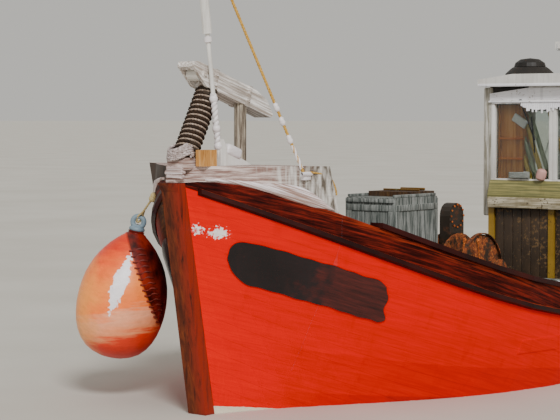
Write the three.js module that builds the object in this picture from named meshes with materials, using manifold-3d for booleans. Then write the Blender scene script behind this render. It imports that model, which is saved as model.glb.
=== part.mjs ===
// A wooden inshore fishing trawler, 9.9 m long, with its wheelhouse aft and its net drum and gantry over the stern.
// Millimetres. The origin is on the waterline amidships: +X to port, +Y aft, +Z up, so the bow points along -Y.
// Places along the boat are stations: millimetres aft of the stem head.
import * as THREE from 'three';
import { mergeVertices } from 'three/addons/utils/BufferGeometryUtils.js';
import Module from 'manifold-3d';

const wasm = await Module();
wasm.setup();

// Driving dimensions of the hull
const LENGTH = 9900;
const FULLEST = 5000;          // station of the fullest section
const SHEER_BOW = 2000;        // top of the red topsides at the stem
const SHEER_MID = 620;
const SHEER_POWER = 2.05;
const STEM_RAKE = 0.187;       // run of the stem per unit of height
const TRANSOM_RAKE = 0.06;
const BAND = 235;              // dark sheer strake between the topsides and the rail
const BAND_AT_STEM = 40;
const BAND_GROWS_OVER = 250;
const TIMBER = 200;            // siding of stem, keel and sternpost
const STEM_DEPTH = 120;
const DECK_TOP = 400;
const DECK_THICK = 40;
const BULWARK_THICK = 60;
const FOREPEAK_END = 920;      // bulkhead under the fore deck
const STERN_INSIDE = 9780;
const GAP = 0.4;               // between pieces that touch
const RUN = 0.5;               // running clearance of a shaft in its bore, or a lid on its seat

// Colours and finishes
const paint = (color, roughness = 0.45, metalness = 0) =>
  new THREE.MeshStandardMaterial({ color, roughness, metalness });
const RED = paint(0xd8240c, 0.35);
const DARK_BAND = paint(0x3a0f0c, 0.5);
const OAK = paint(0x5e3a24, 0.8);
const PALE = paint(0xc9c0c2, 0.6);
const DECK_GREY = paint(0x8d9291, 0.8);
const BLUE_GREY = paint(0x7f8d90, 0.6);
const WHITE = paint(0xe9e8e4, 0.45);
const VARNISH = paint(0x8a5a1c, 0.5);
const STEEL = paint(0x5a4a40, 0.6, 0.6);
const GALVANISED = paint(0x9a9c9c, 0.5, 0.7);
const BRONZE = paint(0x9c7a3c, 0.4, 0.9);
const GLASS = paint(0x9fb4b8, 0.1);
const OLIVE = paint(0xa8a078, 0.8);
const OCHRE = paint(0x8a6a1c, 0.6);
const NET_GREEN = paint(0x2f5a44, 0.95);
const ORANGE = paint(0xe8702c, 0.4);
const ROPE = paint(0xcfc2a0, 0.9);
const ENGINE_GREEN = paint(0x3d5a48, 0.5, 0.3);

// Solids and booleans
const toSolid = geometry => {
  const bare = geometry.clone();
  bare.deleteAttribute('normal');
  bare.deleteAttribute('uv');
  const merged = mergeVertices(bare, 1e-3);
  return new wasm.Manifold(new wasm.Mesh({
    numProp: 3,
    vertProperties: new Float32Array(merged.attributes.position.array),
    triVerts: new Uint32Array(merged.index.array),
  }));
};

const toGeometry = solid => {
  const mesh = solid.getMesh();
  const points = new Float32Array(mesh.numVert * 3);
  for (let i = 0; i < mesh.numVert; i++) {
    points.set(mesh.vertProperties.subarray(i * mesh.numProp, i * mesh.numProp + 3), i * 3);
  }
  const geometry = new THREE.BufferGeometry();
  geometry.setAttribute('position', new THREE.BufferAttribute(points, 3));
  geometry.setIndex(new THREE.BufferAttribute(mesh.triVerts, 1));
  return geometry;
};

const join = (...geometries) =>
  toGeometry(geometries.map(toSolid).reduce((all, one) => all.add(one)));
const cut = (geometry, ...tools) =>
  toGeometry(tools.map(toSolid).reduce((rest, tool) => rest.subtract(tool), toSolid(geometry)));
const common = (a, b) => toGeometry(toSolid(a).intersect(toSolid(b)));

// A box between two corners: station for Y, so box({x: [..], s: [..], z: [..]})
const stationY = s => s - LENGTH / 2;
const box = ({ x, s, z }) =>
  new THREE.BoxGeometry(x[1] - x[0], s[1] - s[0], z[1] - z[0])
    .translate((x[0] + x[1]) / 2, stationY((s[0] + s[1]) / 2), (z[0] + z[1]) / 2);
const block = (width, length, height) => new THREE.BoxGeometry(width, length, height);
const rod = (radius, length, sides = 16, topRadius = radius) =>
  new THREE.CylinderGeometry(topRadius, radius, length, sides).rotateX(Math.PI / 2);
const boreRadius = (radius, sides) => (radius + RUN) / Math.cos(Math.PI / sides);
const rodAlongX = (radius, length, sides = 16) =>
  new THREE.CylinderGeometry(radius, radius, length, sides).rotateZ(Math.PI / 2);
const rodAlongY = (radius, length, sides = 16) =>
  new THREE.CylinderGeometry(radius, radius, length, sides);

// A straight rod between two points {x, s, z}
const point = ({ x, s, z }) => new THREE.Vector3(x, stationY(s), z);
const rodBetween = (from, to, radius, sides = 8, topRadius = radius) => {
  const start = point(from);
  const end = point(to);
  const along = end.clone().sub(start);
  const turn = new THREE.Quaternion().setFromUnitVectors(
    new THREE.Vector3(0, 1, 0), along.clone().normalize());
  return new THREE.CylinderGeometry(topRadius, radius, along.length(), sides)
    .applyQuaternion(turn)
    .translate(...start.add(end).multiplyScalar(0.5).toArray());
};

// An outline of [station, height] points in the centre plane, given a width across the boat
const profile = (points, width) => {
  const shape = new THREE.Shape(points.map(([s, z]) => new THREE.Vector2(stationY(s), z)));
  return new THREE.ExtrudeGeometry(shape, { depth: width, bevelEnabled: false })
    .translate(0, 0, -width / 2)
    .applyMatrix4(new THREE.Matrix4().set(
      0, 0, 1, 0,
      1, 0, 0, 0,
      0, 1, 0, 0,
      0, 0, 0, 1));
};

// An outline of [x, station] points in plan, given a height
const plan = (points, low, high) => {
  const shape = new THREE.Shape(points.map(([x, s]) => new THREE.Vector2(x, stationY(s))));
  return new THREE.ExtrudeGeometry(shape, { depth: high - low, bevelEnabled: false })
    .translate(0, 0, low);
};

// A closed body through rings of equal numbers of points, with its ends closed by strips
const loft = rings => {
  const count = rings[0].length;
  const points = rings.flat().flatMap(p => [p.x, p.y, p.z]);
  const faces = [];
  for (let i = 0; i + 1 < rings.length; i++) {
    for (let j = 0; j < count; j++) {
      const a = i * count + j;
      const b = i * count + (j + 1) % count;
      faces.push(a, b, a + count, b, b + count, a + count);
    }
  }
  const last = (rings.length - 1) * count;
  for (let j = 0; j + 1 < count / 2; j++) {
    const far = count - 1 - j;
    faces.push(j, far, j + 1, far, far - 1, j + 1);
    faces.push(last + j, last + j + 1, last + far, last + j + 1, last + far - 1, last + far);
  }
  const geometry = new THREE.BufferGeometry();
  geometry.setAttribute('position', new THREE.Float32BufferAttribute(points, 3));
  geometry.setIndex(faces);
  return toSolid(geometry).volume() > 0 ? geometry : geometry.setIndex(
    Array.from({ length: faces.length / 3 }, (_, f) =>
      [faces[3 * f], faces[3 * f + 2], faces[3 * f + 1]]).flat());
};

// Hull lines, keel to sheer. Each level is one run of planking from the stem to the transom:
// its height on the stem, its half breadth and height at the fullest section and on the transom,
// and two powers that shape its entry, fine below and bluff above.
const LEVELS = [
  { stemZ: -700, half: 100, z: -620, sternHalf: 100, sternZ: -60, power: 1, round: 1 },
  { stemZ: -560, half: 480, z: -560, sternHalf: 430, sternZ: -35, power: 2, round: 1.8 },
  { stemZ: -380, half: 930, z: -455, sternHalf: 850, sternZ: 10, power: 2.25, round: 1.65 },
  { stemZ: -120, half: 1330, z: -300, sternHalf: 1180, sternZ: 90, power: 2.55, round: 1.5 },
  { stemZ: 250, half: 1600, z: -90, sternHalf: 1400, sternZ: 210, power: 2.95, round: 1.36 },
  { stemZ: 700, half: 1745, z: 150, sternHalf: 1490, sternZ: 380, power: 3.35, round: 1.24 },
  { stemZ: 1200, half: 1805, z: 370, sternHalf: 1535, sternZ: 570, power: 3.7, round: 1.13 },
  { stemZ: 1600, half: 1822, z: 490, sternHalf: 1548, sternZ: 680, power: 3.9, round: 1.06 },
  { stemZ: SHEER_BOW, half: 1835, z: SHEER_MID, sternHalf: 1560, sternZ: 800, power: 4.1, round: 1 },
];
const FOREFOOT = { depth: 700, run: 130, sweep: 560 };
const RUN_POWER = 2.2;

const stemStation = z => {
  const below = Math.max(0, -z) / FOREFOOT.depth;
  return STEM_RAKE * (SHEER_BOW - Math.max(0, z)) + FOREFOOT.run * below + FOREFOOT.sweep * below ** 3;
};
const transomStation = z => LENGTH - TRANSOM_RAKE * (1100 - z);
const bandHeight = s => BAND - (BAND - BAND_AT_STEM) * Math.exp(-s / BAND_GROWS_OVER);

// A point {s, half, z} of a level, at a share of the way from stem (0) past the fullest section (1) to transom (2)
const levelPoint = (level, share) => {
  if (share <= 1) {
    const start = stemStation(level.stemZ);
    const rest = 1 - share;
    return {
      s: start + (FULLEST - start) * share,
      half: TIMBER / 2 + (level.half - TIMBER / 2) * (1 - rest ** level.power) ** level.round,
      z: level.z + (level.stemZ - level.z) * rest ** SHEER_POWER,
    };
  }
  const aft = share - 1;
  return {
    s: FULLEST + (transomStation(level.sternZ) - FULLEST) * aft,
    half: level.half + (level.sternHalf - level.half) * aft ** 2,
    z: level.z + (level.sternZ - level.z) * aft ** RUN_POWER,
  };
};
const SHEER = LEVELS[LEVELS.length - 1];

// All levels at one share, with the rail above the sheer
const sectionPoints = share => {
  const points = LEVELS.map(level => levelPoint(level, share));
  const sheer = points[points.length - 1];
  points.push({ s: sheer.s, half: sheer.half + 5, z: sheer.z + bandHeight(sheer.s) });
  return points;
};

// The half breadth of the hull at a station and height, and the sheer and rail there
const shareAt = (level, s) => {
  const start = stemStation(level.stemZ);
  return s <= FULLEST
    ? Math.max(0, (s - start) / (FULLEST - start))
    : 1 + (s - FULLEST) / (transomStation(level.sternZ) - FULLEST);
};
const sheerAt = s => levelPoint(SHEER, shareAt(SHEER, s));
const railAt = s => ({ half: sheerAt(s).half + 5, z: sheerAt(s).z + bandHeight(s) });
const halfAt = (s, z) => {
  const points = LEVELS.map(level => levelPoint(level, shareAt(level, s)));
  points.push(railAt(s));
  const above = points.findIndex(p => p.z >= z);
  if (above < 0) return points[points.length - 1].half;
  if (above === 0) return points[0].half;
  const low = points[above - 1];
  const high = points[above];
  return low.half + (high.half - low.half) * (z - low.z) / (high.z - low.z);
};

const FORE_SHARES = [0, 0.012, 0.03, 0.055, 0.09, 0.13, 0.18, 0.24, 0.31, 0.39, 0.48, 0.58, 0.7, 0.84, 1];
const AFT_SHARES = [0.13, 0.26, 0.39, 0.52, 0.64, 0.76, 0.88, 1];
const SHARES = [...FORE_SHARES, ...AFT_SHARES.map(a => 1 + a)];

const hullRing = share => {
  const points = sectionPoints(share);
  const port = points.map(p => new THREE.Vector3(p.half, stationY(p.s), p.z));
  const starboard = points.map(p => new THREE.Vector3(-p.half, stationY(p.s), p.z)).reverse();
  return [...port, ...starboard];
};
const outerHull = loft(SHARES.map(hullRing));

const boat = new THREE.Group();
boat.name = 'fishing_trawler';
const add = (group, name, geometry, material, place = [0, 0, 0], turn = [0, 0, 0]) => {
  const mesh = new THREE.Mesh(geometry, material);
  mesh.name = name;
  mesh.position.set(...place);
  mesh.rotation.set(...turn);
  group.add(mesh);
  return mesh;
};

// Fish hold and engine space, both sunk in the hull
const HATCH = { x: [-450, 450], s: [5300, 6150], floor: -380 };
const ENGINE_SPACE = { x: [-420, 420], s: [6500, 7800], floor: -250 };
const RUDDER = { s: 9280, stockRadius: 28, glandRadius: 62, glandZ: -262, heelZ: -1030 };
const SHAFT_Z = -620;
const HULL_TOP = DECK_TOP - DECK_THICK;

function makeHull() {
  const aboveDeck = box({ x: [-3000, 3000], s: [FOREPEAK_END, 11000], z: [HULL_TOP, 4000] });
  const hold = box({ ...HATCH, z: [HATCH.floor, 500] });
  const engineSpace = box({ ...ENGINE_SPACE, z: [ENGINE_SPACE.floor, 500] });
  const gland = rod(RUDDER.glandRadius, 220, 16).translate(0, stationY(RUDDER.s), RUDDER.glandZ + 110);
  add(boat, 'hull', join(cut(outerHull, aboveDeck, hold, engineSpace), gland), RED);
}

// Stem post, keel, deadwood, sternpost and the shoe that carries the rudder, all one oak backbone
function makeBackbone() {
  const SHOE = { end: 9420, top: RUDDER.heelZ, bottom: -1100 };
  const STERNPOST = 8800;
  const HEAD = { s: -130, z: 2036 };
  const stemInside = sectionPoints(0).reverse()
    .filter(p => p.z < HEAD.z)
    .map(p => [p.s - GAP, p.z]);
  const keelTop = SHARES.map(share => levelPoint(LEVELS[0], share))
    .filter(p => p.s < STERNPOST)
    .map(p => [p.s - GAP, p.z - GAP]);
  const sternpostTop = [STERNPOST, levelPoint(LEVELS[0], shareAt(LEVELS[0], STERNPOST)).z - 3];
  const stemFront = [0.98, 0.75, 0.5, 0.25, 0, -0.14, -0.24, -0.31]
    .map(share => share * SHEER_BOW)
    .map(z => [stemStation(z) - STEM_DEPTH * (1 - z / 9000), z]);
  const keelBottom = [[1180, -800], [1600, -860], [STERNPOST - 100, SHOE.bottom + 10], [SHOE.end, SHOE.bottom]];
  const outline = [
    [HEAD.s, HEAD.z], ...stemFront, ...keelBottom,
    [SHOE.end, SHOE.top], [STERNPOST + 40, SHOE.top], [STERNPOST, SHOE.top + 40],
    sternpostTop, ...keelTop.reverse(), ...stemInside.reverse().slice(1),
    [stemStation(HEAD.z) - GAP, HEAD.z],
  ];
  const boss = rodAlongY(60, 120, 16).translate(0, stationY(STERNPOST + 20), SHAFT_Z);
  add(boat, 'backbone', join(profile(outline, TIMBER), boss), OAK);

  const hub = rodAlongY(52, 150, 16).translate(0, 75, 0);
  const cap = new THREE.CylinderGeometry(18, 50, 40, 16).rotateX(0).translate(0, 169, 0);
  const BLADE = { span: 270, chord: 190, thick: 16, pitch: 0.62 };
  const blades = Array.from({ length: 4 }, (_, i) =>
    new THREE.CylinderGeometry(BLADE.chord / 2, BLADE.chord / 3.2, BLADE.span, 12)
      .scale(1, 1, BLADE.thick / BLADE.chord)
      .rotateY(Math.PI / 2 - BLADE.pitch)
      .rotateX(Math.PI / 2)
      .rotateX(Math.PI / 2)
      .rotateX(-Math.PI / 2)
      .translate(0, 75, BLADE.span / 2 + 30)
      .rotateY(i * Math.PI / 2));
  add(boat, 'propeller', join(hub, cap, ...blades), BRONZE,
    [0, stationY(STERNPOST + 80 + GAP), SHAFT_Z]);

  const stock = rod(RUDDER.stockRadius, RUDDER.glandZ - RUDDER.heelZ - 2 * GAP, 16)
    .translate(0, 0, (RUDDER.glandZ + RUDDER.heelZ) / 2);
  const bladeOutline = [[-150, -960], [330, -930], [380, -700], [300, -330], [-120, -330], [-150, -600]];
  const bladeShape = new THREE.Shape(bladeOutline.map(([y, z]) => new THREE.Vector2(y, z)));
  const blade = new THREE.ExtrudeGeometry(bladeShape, { depth: 44, bevelEnabled: false })
    .translate(0, 0, -22)
    .applyMatrix4(new THREE.Matrix4().set(0, 0, 1, 0, 1, 0, 0, 0, 0, 1, 0, 0, 0, 0, 0, 1));
  add(boat, 'rudder', join(stock, blade), OAK, [0, stationY(RUDDER.s), 0]);

  const engine = join(
    block(560, 1050, 420).translate(0, 0, 210),
    block(300, 900, 120).translate(0, 0, 470));
  add(boat, 'engine', engine, ENGINE_GREEN, [0, stationY(7100), ENGINE_SPACE.floor + GAP]);
}

// Bulwarks: the planking above the deck, hollowed by the space inside it, and the deck between them
const INSIDE_STATIONS = [FOREPEAK_END, 1050, 1220, 1440, 1700, 2000, 2350, 2750, 3200, 3800, 4500, 5200,
  5800, 6400, 7000, 7600, 8200, 8800, 9400, STERN_INSIDE];
const inset = (s, z) => {
  const slope = (halfAt(s + 50, z) - halfAt(s - 50, z)) / 100;
  return BULWARK_THICK * Math.hypot(1, slope);
};
const insideHalf = (s, z) => halfAt(s, z) - inset(s, z);

function makeDeckAndBulwarks() {
  const wellRing = s => {
    const rail = railAt(s).z;
    const heights = [HULL_TOP - 60, HULL_TOP, (HULL_TOP + rail) / 2, rail, 3000];
    const port = heights.map(z =>
      new THREE.Vector3(insideHalf(s, Math.min(Math.max(z, HULL_TOP), rail)), stationY(s), z));
    return [...port, ...port.map(p => new THREE.Vector3(-p.x, p.y, p.z)).reverse()];
  };
  const well = loft(INSIDE_STATIONS.map(wellRing));
  const ring = cut(outerHull, well, box({ x: [-3000, 3000], s: [-500, 11000], z: [-3000, HULL_TOP + GAP] }));
  const FREEING_PORTS = [2900, 4300, 5700, 7100, 8500];
  const ports = FREEING_PORTS.map(s => box({ x: [-3000, 3000], s: [s, s + 520], z: [DECK_TOP + 15, DECK_TOP + 105] }));
  const side = x => common(cut(ring, ...ports), box({ x, s: [FOREPEAK_END + GAP, STERN_INSIDE - GAP], z: [0, 4000] }));
  add(boat, 'bulwark_port', side([10, 3000]), RED);
  add(boat, 'bulwark_starboard', side([-3000, -10]), RED);
  add(boat, 'bulwark_stern', common(ring, box({ x: [-3000, 3000], s: [STERN_INSIDE, 11000], z: [0, 4000] })), RED);

  const edge = INSIDE_STATIONS.map((s, i) => {
    const last = INSIDE_STATIONS.length - 1;
    const along = i === 0 ? s + 1 : i === last ? s - 1 : s;
    return [insideHalf(s, HULL_TOP) - 2, along];
  });
  const outline = [...edge, ...edge.map(([x, s]) => [-x, s]).reverse()];
  const hatchHole = box({ ...HATCH, z: [0, 900] });
  add(boat, 'deck', cut(plan(outline, HULL_TOP + GAP, DECK_TOP), hatchHole), DECK_GREY);
}

// A strip of timber along the sheer (level 1) or the rail (level 0), its section in [out, up] points
function strip(levelFromTop, shares, section) {
  return loft(shares.map(share => {
    const at = sectionPoints(share).reverse()[levelFromTop];
    return section.map(([out, up]) => new THREE.Vector3(at.half + out, stationY(at.s), at.z + up));
  }));
}
const mirrored = geometry => {
  const other = geometry.clone().scale(-1, 1, 1);
  const index = Array.from(other.index.array);
  for (let i = 0; i < index.length; i += 3) [index[i + 1], index[i + 2]] = [index[i + 2], index[i + 1]];
  return other.setIndex(index);
};

const CAP = { inward: 95, outward: 40, thick: 45 };
function makeRails() {
  const RUB = { proud: 48, half: 32, clear: 3 };
  const capSection = [[-CAP.inward, GAP], [-CAP.inward, CAP.thick], [CAP.outward, CAP.thick], [CAP.outward, GAP]];
  const rubSection = [
    [RUB.clear, -RUB.half], [RUB.clear, RUB.half], [RUB.proud, RUB.half * 0.6], [RUB.proud, -RUB.half * 0.6]];
  const cap = strip(0, SHARES.filter(share => share > 0.18), capSection);
  const rub = strip(1, SHARES.filter(share => share > 0), rubSection);
  add(boat, 'cap_rail_port', cap, DARK_BAND);
  add(boat, 'cap_rail_starboard', mirrored(cap), DARK_BAND);
  add(boat, 'rub_rail_port', rub, DARK_BAND);
  add(boat, 'rub_rail_starboard', mirrored(rub), DARK_BAND);
}

// The raised fore deck over the forepeak: its top is level, its aft end leans forward, a block caps its nose
const FOREDECK = { top: 2180, lastShare: 0.18, lean: 110, noseTop: 2255 };
function makeForedeck() {
  const ring = (half, s, low, topHalf, topS = s) => [
    new THREE.Vector3(half, stationY(s), low),
    new THREE.Vector3(topHalf, stationY(topS), FOREDECK.top),
    new THREE.Vector3(-topHalf, stationY(topS), FOREDECK.top),
    new THREE.Vector3(-half, stationY(s), low),
  ];
  const noseZ = sectionPoints(0).pop().z + GAP;
  const nose = [ring(50, -85, noseZ, 45), ring(85, -50, noseZ, 78)];
  const body = SHARES.filter(share => share <= FOREDECK.lastShare).map(share => {
    const rail = sectionPoints(share).pop();
    const lean = share === FOREDECK.lastShare ? FOREDECK.lean : 0;
    return ring(rail.half - 6, rail.s, rail.z + GAP, rail.half - 22, rail.s - lean);
  });
  const noseBlock = profile([[-78, 2150], [-78, FOREDECK.noseTop - 25], [-50, FOREDECK.noseTop],
    [90, FOREDECK.noseTop], [150, FOREDECK.top - 20]], 190).translate(55, 0, 0);
  add(boat, 'foredeck_cap', join(loft([...nose, ...body]), noseBlock), PALE);
}

// Gear on the fore deck: a slanted anchor beam with a roller on two posts, and a chock beside them
const above = (geometry, z) => cut(geometry, box({ x: [-3000, 3000], s: [-3000, 14000], z: [z - 3000, z] }));
const BEAM = { x: 60, s: 593, z: 2842, length: 1150, width: 190, depth: 176, slope: -0.294, cheek: 30, slot: 215, nib: 35 };
const ROLLER = { radius: 62, along: -430, up: 5, axle: 14 };
function makeAnchorBeam() {
  const onDeck = FOREDECK.top + GAP;
  const place = [BEAM.x, stationY(BEAM.s), BEAM.z];
  const end = BEAM.length / 2;
  const low = -BEAM.depth / 2;
  const high = BEAM.depth / 2;
  const outline = [[-end, 25], [-end, 70], [-end + 45, high], [end - 300, high], [end - 120, 45], [end, low + 30],
    [end - 20, low], [-end + 210, low]];
  const body = profile(outline.map(([y, z]) => [y + LENGTH / 2, z]), BEAM.width);
  const slot = block(BEAM.width - 2 * BEAM.cheek, BEAM.slot, BEAM.depth + 20)
    .translate(0, -end + BEAM.nib + BEAM.slot / 2, 0);
  const axleBore = rodAlongX(boreRadius(ROLLER.axle, 16), 400, 16).translate(0, ROLLER.along, ROLLER.up);
  add(boat, 'anchor_beam', cut(body, slot, axleBore), PALE, place, [BEAM.slope, 0, 0]);

  const rollerAt = new THREE.Vector3(0, ROLLER.along, ROLLER.up)
    .applyAxisAngle(new THREE.Vector3(1, 0, 0), BEAM.slope);
  const roller = join(
    rodAlongX(ROLLER.radius, BEAM.width - 2 * BEAM.cheek - 12, 16),
    rodAlongX(ROLLER.axle, BEAM.width - 4, 16));
  add(boat, 'anchor_roller', roller, BRONZE, [BEAM.x, place[1] + rollerAt.y, place[2] + rollerAt.z]);

  const overBeam = block(900, 4000, 1600).translate(0, 0, 800 + low - GAP)
    .rotateX(BEAM.slope).translate(...place);
  const POSTS = [
    { name: 'anchor_post_fore', from: { x: 60, s: -30, z: 2150 }, to: { x: 60, s: 500, z: 3110 },
      radius: 82, foot: FOREDECK.noseTop, material: OAK },
    { name: 'anchor_post_aft', from: { x: 100, s: 730, z: 2150 }, to: { x: 100, s: 730, z: 3000 },
      radius: 55, foot: FOREDECK.top, material: BLUE_GREY },
  ];
  for (const { name, from, to, radius, foot, material } of POSTS) {
    add(boat, name, cut(above(rodBetween(from, to, radius, 16), foot + GAP), overBeam), material);
  }
  add(boat, 'bow_chock', box({ x: [178, 270], s: [45, 215], z: [onDeck, onDeck + 140] }), VARNISH);
}

// A white staff with its knee at the bow, and the stay that holds it
const STAFF = {
  base: { x: 205, s: 335, z: 2150 }, shoulder: { x: 190, s: 185, z: 3315 }, top: { x: 174, s: 20, z: 4600 },
  radius: 19, upperRadius: 42, topRadius: 30,
};
function makeBowStaff() {
  const onDeck = FOREDECK.top + GAP;
  const pole = rodBetween(STAFF.base, STAFF.shoulder, STAFF.radius, 12);
  const upper = rodBetween(STAFF.shoulder, STAFF.top, STAFF.upperRadius, 12, STAFF.topRadius);
  const knee = profile([[345, onDeck], [720, onDeck], [670, onDeck + 25], [400, onDeck + 130], [345, onDeck + 230],
    [305, onDeck + 230], [305, onDeck]], 60).translate(STAFF.base.x, 0, 0);
  add(boat, 'bow_staff', above(join(pole, upper, knee), onDeck), WHITE);

  const cleatAt = { x: 875, s: 672, z: 2085 };
  const stay = rodBetween(cleatAt, { x: 208.75, s: 97.1, z: 4200 }, 6, 8);
  const cleat = block(56, 170, 40).translate(cleatAt.x - 14, stationY(cleatAt.s), cleatAt.z - 10);
  const capSide = plan([[0, -100], ...SHARES.filter(share => share <= 0.24).map(share => {
    const rail = sectionPoints(share).pop();
    return [rail.half - 4, rail.s];
  }), [0, 1300]], 1500, 2600);
  add(boat, 'bow_stay', join(cut(cleat, capSide), stay), ROPE);
}

// A round orange fender off the starboard bow, with its lanyard to the rail
const FENDER = {
  x: -1074, s: 459, z: 972, radius: 410, length: 1170, tilt: [-0.11, 0.18], eye: 52, eyeRod: 24, eyeUp: 100,
};
function makeFender() {
  const half = FENDER.length / 2;
  const outline = [[0, -half], [0.3, -half + 10], [0.62, -half + 70], [0.85, -half + 195], [0.97, -230], [1, -90],
    [0.97, 60], [0.88, 210], [0.72, 345], [0.52, 455], [0.32, half - 50], [0.17, half - 5], [0.13, half + 55],
    [0, half + 57]]
    .map(([share, z]) => new THREE.Vector2(share * FENDER.radius, z));
  const body = new THREE.LatheGeometry(outline, 24).rotateX(Math.PI / 2);
  const eyeRing = rodRadius => new THREE.TorusGeometry(FENDER.eye, rodRadius, 8, 16)
    .rotateX(Math.PI / 2).translate(0, 0, half + FENDER.eyeUp);
  const fender = add(boat, 'fender', join(body, eyeRing(FENDER.eyeRod)), ORANGE,
    [FENDER.x, stationY(FENDER.s), FENDER.z], [FENDER.tilt[0], FENDER.tilt[1], 0]);
  fender.updateMatrix();
  const eyeAt = new THREE.Vector3(0, 0, half + FENDER.eyeUp).applyMatrix4(fender.matrix);
  const eyeSpace = join(eyeRing(FENDER.eyeRod + 0.6), rodAlongY(FENDER.eye, 60, 16)
    .translate(0, 0, half + FENDER.eyeUp))
    .applyMatrix4(fender.matrix);
  const FAST = { s: 480, down: 70, out: 20, side: 60 };
  const rail = railAt(FAST.s);
  const lanyard = rodBetween({ x: -rail.half - FAST.out, s: FAST.s, z: rail.z - FAST.down },
    { x: eyeAt.x, s: eyeAt.y + LENGTH / 2, z: eyeAt.z }, 11, 8);
  const becket = block(FAST.side, FAST.side, FAST.side)
    .translate(-rail.half - FAST.out, stationY(FAST.s), rail.z - FAST.down);
  const hullSpace = outerHull.clone().scale(1.0006, 1, 1);
  add(boat, 'fender_lanyard', cut(join(lanyard, becket), eyeSpace, hullSpace), ROPE);
}

// Companion hood with a sliding lid, on deck before the winch
const COMPANION = { half: 290, s: [2850, 3600], top: 1810, wall: 40, lid: 400 };
function makeCompanion() {
  const { half, s, top, wall, lid } = COMPANION;
  const inner = { x: [-half + wall, half - wall], s: [s[0] + wall, s[1] - wall], z: [0, top - wall] };
  const doorway = { x: [-210, 210], s: [s[1] - 100, s[1] + 100], z: [DECK_TOP + 160, top - 160] };
  const topHole = { x: [-210, 210], s: [s[1] - lid, s[1] - wall], z: [top - 100, top + 100] };
  add(boat, 'companion', cut(
    box({ x: [-half, half], s, z: [DECK_TOP + GAP, top] }), box(inner), box(doorway), box(topHole)), BLUE_GREY);
  add(boat, 'companion_slide', block(500, lid + 40, 50), OAK,
    [0, stationY(s[1] - lid / 2 - 10), top + 25 + RUN]);
}

// Trawl winch: three cheeks on a bed, the middle one a gear case, and a shaft with drums and warping heads
const WINCH = { s: 4320, z: 1010, cheekX: 400, shaft: 32, sides: 24, caseUp: 560, caseRadius: 135 };
function makeWinch() {
  const { s, z, cheekX, shaft, sides, caseUp, caseRadius } = WINCH;
  const bed = box({ x: [-560, 560], s: [s - 300, s + 300], z: [DECK_TOP + GAP, DECK_TOP + 80] });
  const cheeks = [-cheekX, cheekX].map(x => join(
    box({ x: [x - 20, x + 20], s: [s - 210, s + 210], z: [DECK_TOP + 40, z - 80] }),
    box({ x: [x - 32, x + 32], s: [s - 95, s + 95], z: [z - 110, z + 95] })));
  const gearCase = join(
    box({ x: [-62, 62], s: [s - caseRadius, s + caseRadius], z: [DECK_TOP + 40, z + caseUp] }),
    rodAlongX(caseRadius, 124, 16).translate(0, stationY(s), z + caseUp));
  const bore = rodAlongX(boreRadius(shaft, sides), 2400, sides).translate(0, stationY(s), z);
  add(boat, 'winch_frame', cut(join(bed, ...cheeks, gearCase), bore), STEEL);
  const ROUNDS = [
    { x: 220, width: 250, radius: 225 }, { x: 90, width: 24, radius: 380 }, { x: 345, width: 24, radius: 380 },
    { x: 515, width: 140, radius: 85 }, { x: 592, width: 20, radius: 130 },
  ];
  const drums = [-1, 1].flatMap(side => ROUNDS.map(({ x, width, radius }) =>
    rodAlongX(radius, width, 20).translate(side * x, 0, 0)));
  add(boat, 'winch_drums', join(rodAlongX(shaft, 1180, sides), ...drums), STEEL, [0, stationY(s), z]);
}

// Fish hatch: a coaming round the hold and a hinged cover over it
const COAMING = { wall: 50, top: 720, cover: 50 };
function makeHatch() {
  const { wall, top, cover } = COAMING;
  const outer = { x: [HATCH.x[0] - wall, HATCH.x[1] + wall], s: [HATCH.s[0] - wall, HATCH.s[1] + wall], z: [DECK_TOP + GAP, top] };
  add(boat, 'hatch_coaming', cut(box(outer), box({ ...HATCH, z: [0, 1000] })), OAK);
  const length = outer.s[1] - outer.s[0] + 60;
  const cap = block(outer.x[1] * 2 + 60, length, cover).translate(0, length / 2, 0);
  add(boat, 'hatch_cover', cap, BLUE_GREY, [0, stationY(outer.s[0] - 30), top + RUN + cover / 2]);
}

// Wheelhouse: four walls with their window openings and panes, a roof, a door, and the helm inside
const HOUSE = { s: [6440, 8240], half: 850, wall: 45, top: 2960, roof: 140 };
const DOOR = { s: [7360, 7980], z: [430, 2380], thick: 36 };
const WINDOWS = {
  front: [{ across: [-770, -45], z: [1890, 2760] }, { across: [45, 770], z: [1890, 2760] }],
  port: [{ across: [6600, 7220], z: [1890, 2680] }],
  starboard: [{ across: [6600, 7220], z: [1890, 2680] }, { across: [7420, 8040], z: [1890, 2680] }],
  back: [{ across: [-420, 420], z: [1950, 2650] }],
};
const doorMiddle = (DOOR.z[0] + DOOR.z[1]) / 2;
const doorHeight = DOOR.z[1] - DOOR.z[0] - 16;
const KNUCKLES = [-0.35, 0, 0.35].map(share => share * doorHeight);
const HINGE = { x: HOUSE.half + 16, s: DOOR.s[0] + 6, radius: 9, length: 120 };
const doorHinges = () => KNUCKLES.flatMap(up => {
  const low = doorMiddle + up + HINGE.length / 2 + RUN;
  return [
    rod(HINGE.radius, 60, 12).translate(HINGE.x, stationY(HINGE.s), low + 30),
    box({ x: [HOUSE.half - 5, HINGE.x], s: [HINGE.s - 40, HINGE.s - 2], z: [low, low + 60] }),
  ];
});
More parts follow.
